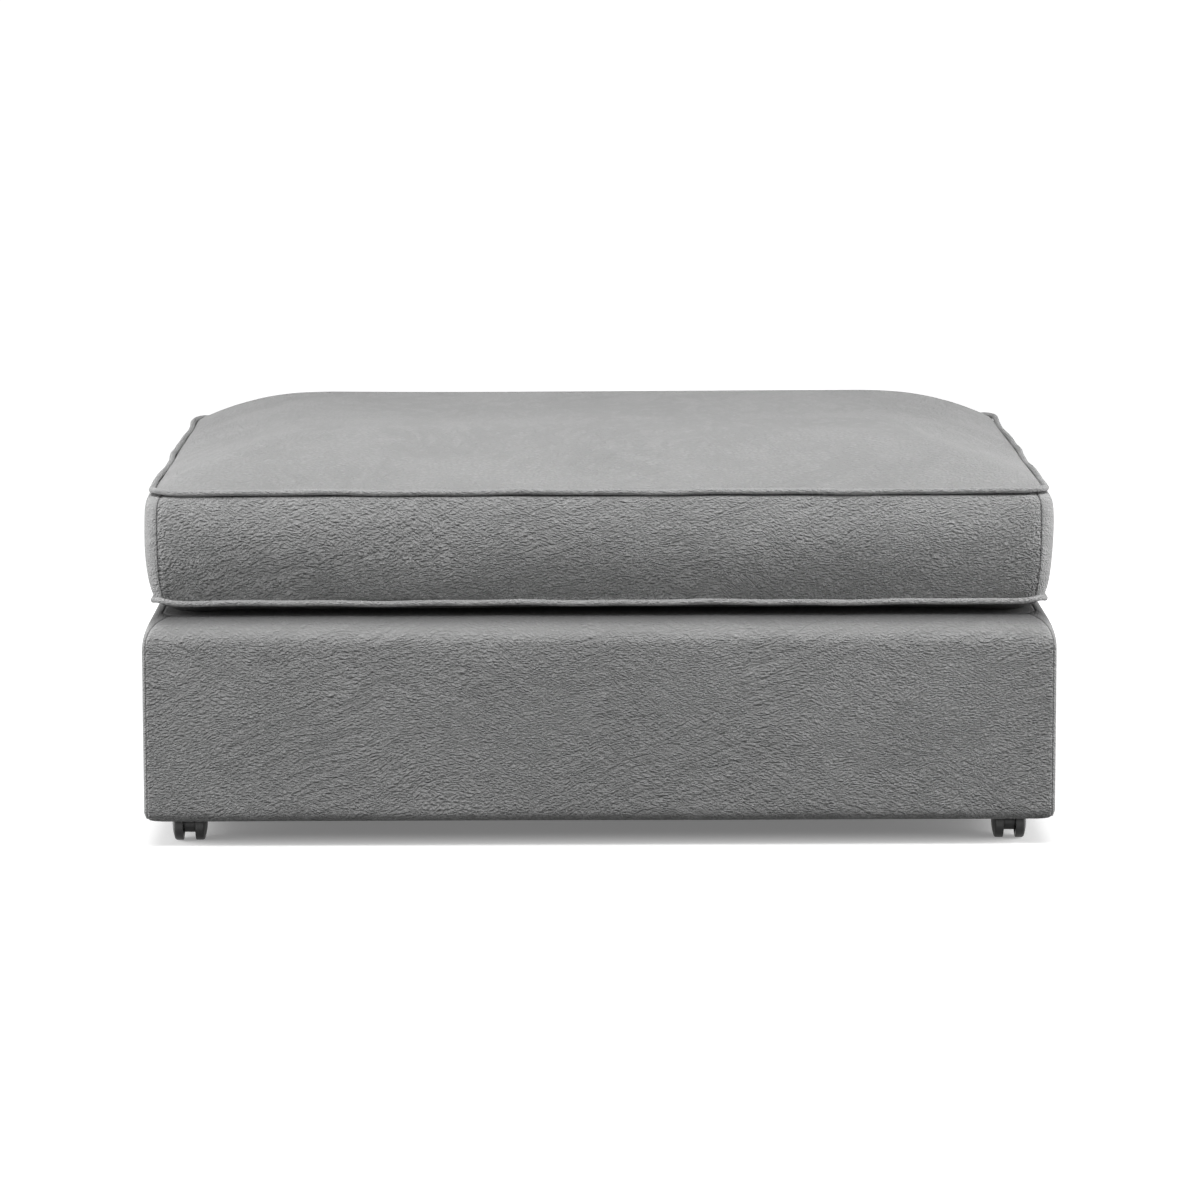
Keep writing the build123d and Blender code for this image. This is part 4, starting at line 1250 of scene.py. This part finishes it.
def make_hardwood(name, scale, turned_scale=None):
    """Wood with its grain along one axis, or along another one past the ends of the rails."""
    finish = Finish(name)
    point = finish.place()
    grain = finish.stretch(point, scale)
    if turned_scale:
        past = finish.along("X").math("ABSOLUTE").step(rail_end - change_over, rail_end + change_over)
        turned = finish.stretch(point, turned_scale)
        grain = finish.node("Mix", {"data_type": "VECTOR"}, {0: past, 4: grain, 5: turned}, 1)
    rings = finish.noise(grain, 1.0, 4.0)
    pores = finish.noise(finish.stretch(grain, (6.0, 6.0, 6.0)), 1.0, 2.0)
    lines = (rings * 9.0).math("SINE") * 0.5 + 0.5
    colour = finish.blend(lines * 0.6 + pores * 0.4, (0.33, 0.20, 0.10, 1), (0.62, 0.44, 0.26, 1))
    finish.bump(pores + lines * 0.3, 0.3 * mm, 0.5)
    finish.surface(Base_Color=colour, Roughness=0.62 + pores * 0.15)
    return finish.material


def dress(material, *nodes):
    """Give CAD pieces a finish."""
    for node in nodes:
        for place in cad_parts[node].material_slots:
            place.material = material


along_x, along_y, along_z = (coarse, fine, fine), (fine, coarse, fine), (fine, fine, coarse)
dress(make_hardwood("rail_wood", along_x, along_y), "lower_rails", "upper_rails")
dress(make_hardwood("post_wood", along_z), "corner_posts", "rail_uprights")
dress(make_hardwood("cross_wood", along_y), "centre_stretcher")
dress(make_hardwood("block_wood", along_x), "caster_blocks")

# %% [markdown]
# The rest of the hard pieces are few finishes with small differences: the boards' brown fibreboard,
# zinc on screws and plates, dark oiled spring wire, nickel on the zip, and two blacks on the casters, a
# grained one on the housings and a smoother one, dusty from the floor, on the wheels.
# %% Metal, board and plastic


def make_hard(name, dark, light, metallic, rough, scale, depth):
    finish = Finish(name)
    point = finish.place()
    cloud = finish.noise(point, scale, 3.0)
    finish.bump(finish.noise(point, scale * 8, 2.0), depth, 0.5)
    colour = finish.blend(cloud, dark, light)
    finish.surface(Base_Color=colour, Metallic=metallic, Roughness=rough + cloud * 0.14)
    return finish.material


def nodes_like(start):
    return [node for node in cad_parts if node.startswith(start)]


board_dark, board_light = (0.24, 0.14, 0.07, 1), (0.40, 0.26, 0.15, 1)
board_brown = make_hard("fibreboard", board_dark, board_light, 0.0, 0.7, 90.0, 0.3 * mm)
zinc = make_hard("zinc_plate", grey(0.52, -0.02), grey(0.72, -0.01), 1.0, 0.24, 160.0, 0.04 * mm)
wire = make_hard("spring_wire", grey(0.14, 0.03), grey(0.26, 0.05), 1.0, 0.3, 120.0, 0.04 * mm)
nickel = make_hard("nickel", grey(0.55, 0.02), grey(0.68, 0.03), 1.0, 0.2, 200.0, 0.02 * mm)
housing_black = make_hard("housing_black", grey(0.008), grey(0.016), 0.0, 0.36, 420.0, 0.12 * mm)
wheel_black = make_hard("wheel_black", grey(0.010), grey(0.030), 0.0, 0.3, 60.0, 0.04 * mm)
dress(board_brown, "front_board", "rear_board", "left_board", "right_board")
dress(zinc, "rail_screws", "caster_screws", "caster_plates", "caster_kingpins", "staples")
dress(zinc, *nodes_like("caster_axle"))
dress(wire, "sinuous_springs", "spring_clips", "tie_wires")
dress(nickel, "zip_slider", "zip_pull")
dress(housing_black, *nodes_like("caster_housing"))
dress(wheel_black, *nodes_like("caster_wheel"))
print("hard pieces dressed")

# %% [markdown]
# The studio is plain: a pale floor that goes on to the horizon, and a little light from all round. To
# the camera and in reflections the floor and the world are white, as in the photograph, but the floor
# lights the ottoman from below no more than a pale floor would, and keeps its shadow. The floor's own
# glow is least under the ottoman and fades in with the distance past its sides, so how dark the shadow
# looks near the base and where it ends are partly painted shade.
# %% Studio floor
floor_radius, floor_inset = 40.0, 30.0
near_glow, far_glow, least_glow = 0.43, 0.4, 0.17
select_only()
bpy.ops.mesh.primitive_circle_add(
    vertices=96, radius=floor_radius, fill_type="NGON", location=(0, 0, 0)
)
floor = bpy.context.object
floor.name = floor.data.name = "floor"
edit_whole(floor, bpy.ops.mesh.inset, thickness=floor_inset)
finish = Finish("studio_floor")
seen = finish.shown_ray()
past_side = finish.along("X").math("ABSOLUTE") - cad_high[0]
past_end = finish.along("Y").math("ABSOLUTE") - cad_high[1]
past = past_side.math("MAXIMUM", past_end)
# Less glow under and just past the ottoman paints part of the shade round its foot.
glow = (past.step(-0.10, 0.05) * near_glow + past.step(0.05, 0.8) * far_glow + least_glow) * seen
finish.surface(
    Base_Color=finish.blend(seen, grey(0.14), grey(0.92)), Roughness=0.9, Specular_IOR_Level=0.0,
    Emission_Color=finish.blend(glow, grey(0.0), grey(1.0)), Emission_Strength=1.0,
)
floor.data.materials.append(finish.material)

# %% [markdown]
# Most of the light comes from two large lamps at the left and the right, a little in front. Weaker
# ones above, in front and behind light the cushion's top, the shoulder and the rear. Each row says
# where a lamp is, where it aims, its size in metres and its power in watts.
# %% Studio light
lamps = {
    "overhead_light": ((0.0, 0.15, 2.6), (0.0, 0.0, 0.3), (2.6, 2.0), 4.0),
    "high_front_light": ((0.0, -0.85, 1.8), (0.0, -0.3, 0.3), (2.4, 0.5), 8.0),
    "low_front_light": ((0.0, -1.1, 1.6), (0.0, -0.3, 0.35), (2.4, 0.35), 12.0),
    "rear_light": ((0.0, 1.6, 1.3), (0.0, 0.3, 0.25), (2.4, 0.6), 3.5),
    "left_light": ((-2.3, -0.55, 0.8), (0.0, -0.1, 0.25), (1.8, 1.2), 36.0),
    "right_light": ((2.3, -0.55, 0.8), (0.0, -0.1, 0.25), (1.8, 1.2), 36.0),
}
for name, (place, aim_at, size, power) in lamps.items():
    data = bpy.data.lights.new(name, "AREA")
    data.shape = "RECTANGLE"
    data.size, data.size_y = size
    data.energy = power
    lamp = bpy.data.objects.new(name, data)
    bpy.context.scene.collection.objects.link(lamp)
    lamp.visible_camera = False
    lamp.location = place
    lamp.rotation_euler = (Vector(aim_at) - Vector(place)).to_track_quat("-Z", "Y").to_euler()
world = bpy.data.worlds.new("studio")
bpy.context.scene.world = world
world.use_nodes = True
sky = Nodes(world.node_tree)
sky_colour = sky.blend(sky.shown_ray(), grey(0.10), grey(1.0))
sky.join(sky.tree.nodes["Background"].inputs["Color"], sky_colour)
bpy.context.scene.view_settings.view_transform = "Standard"
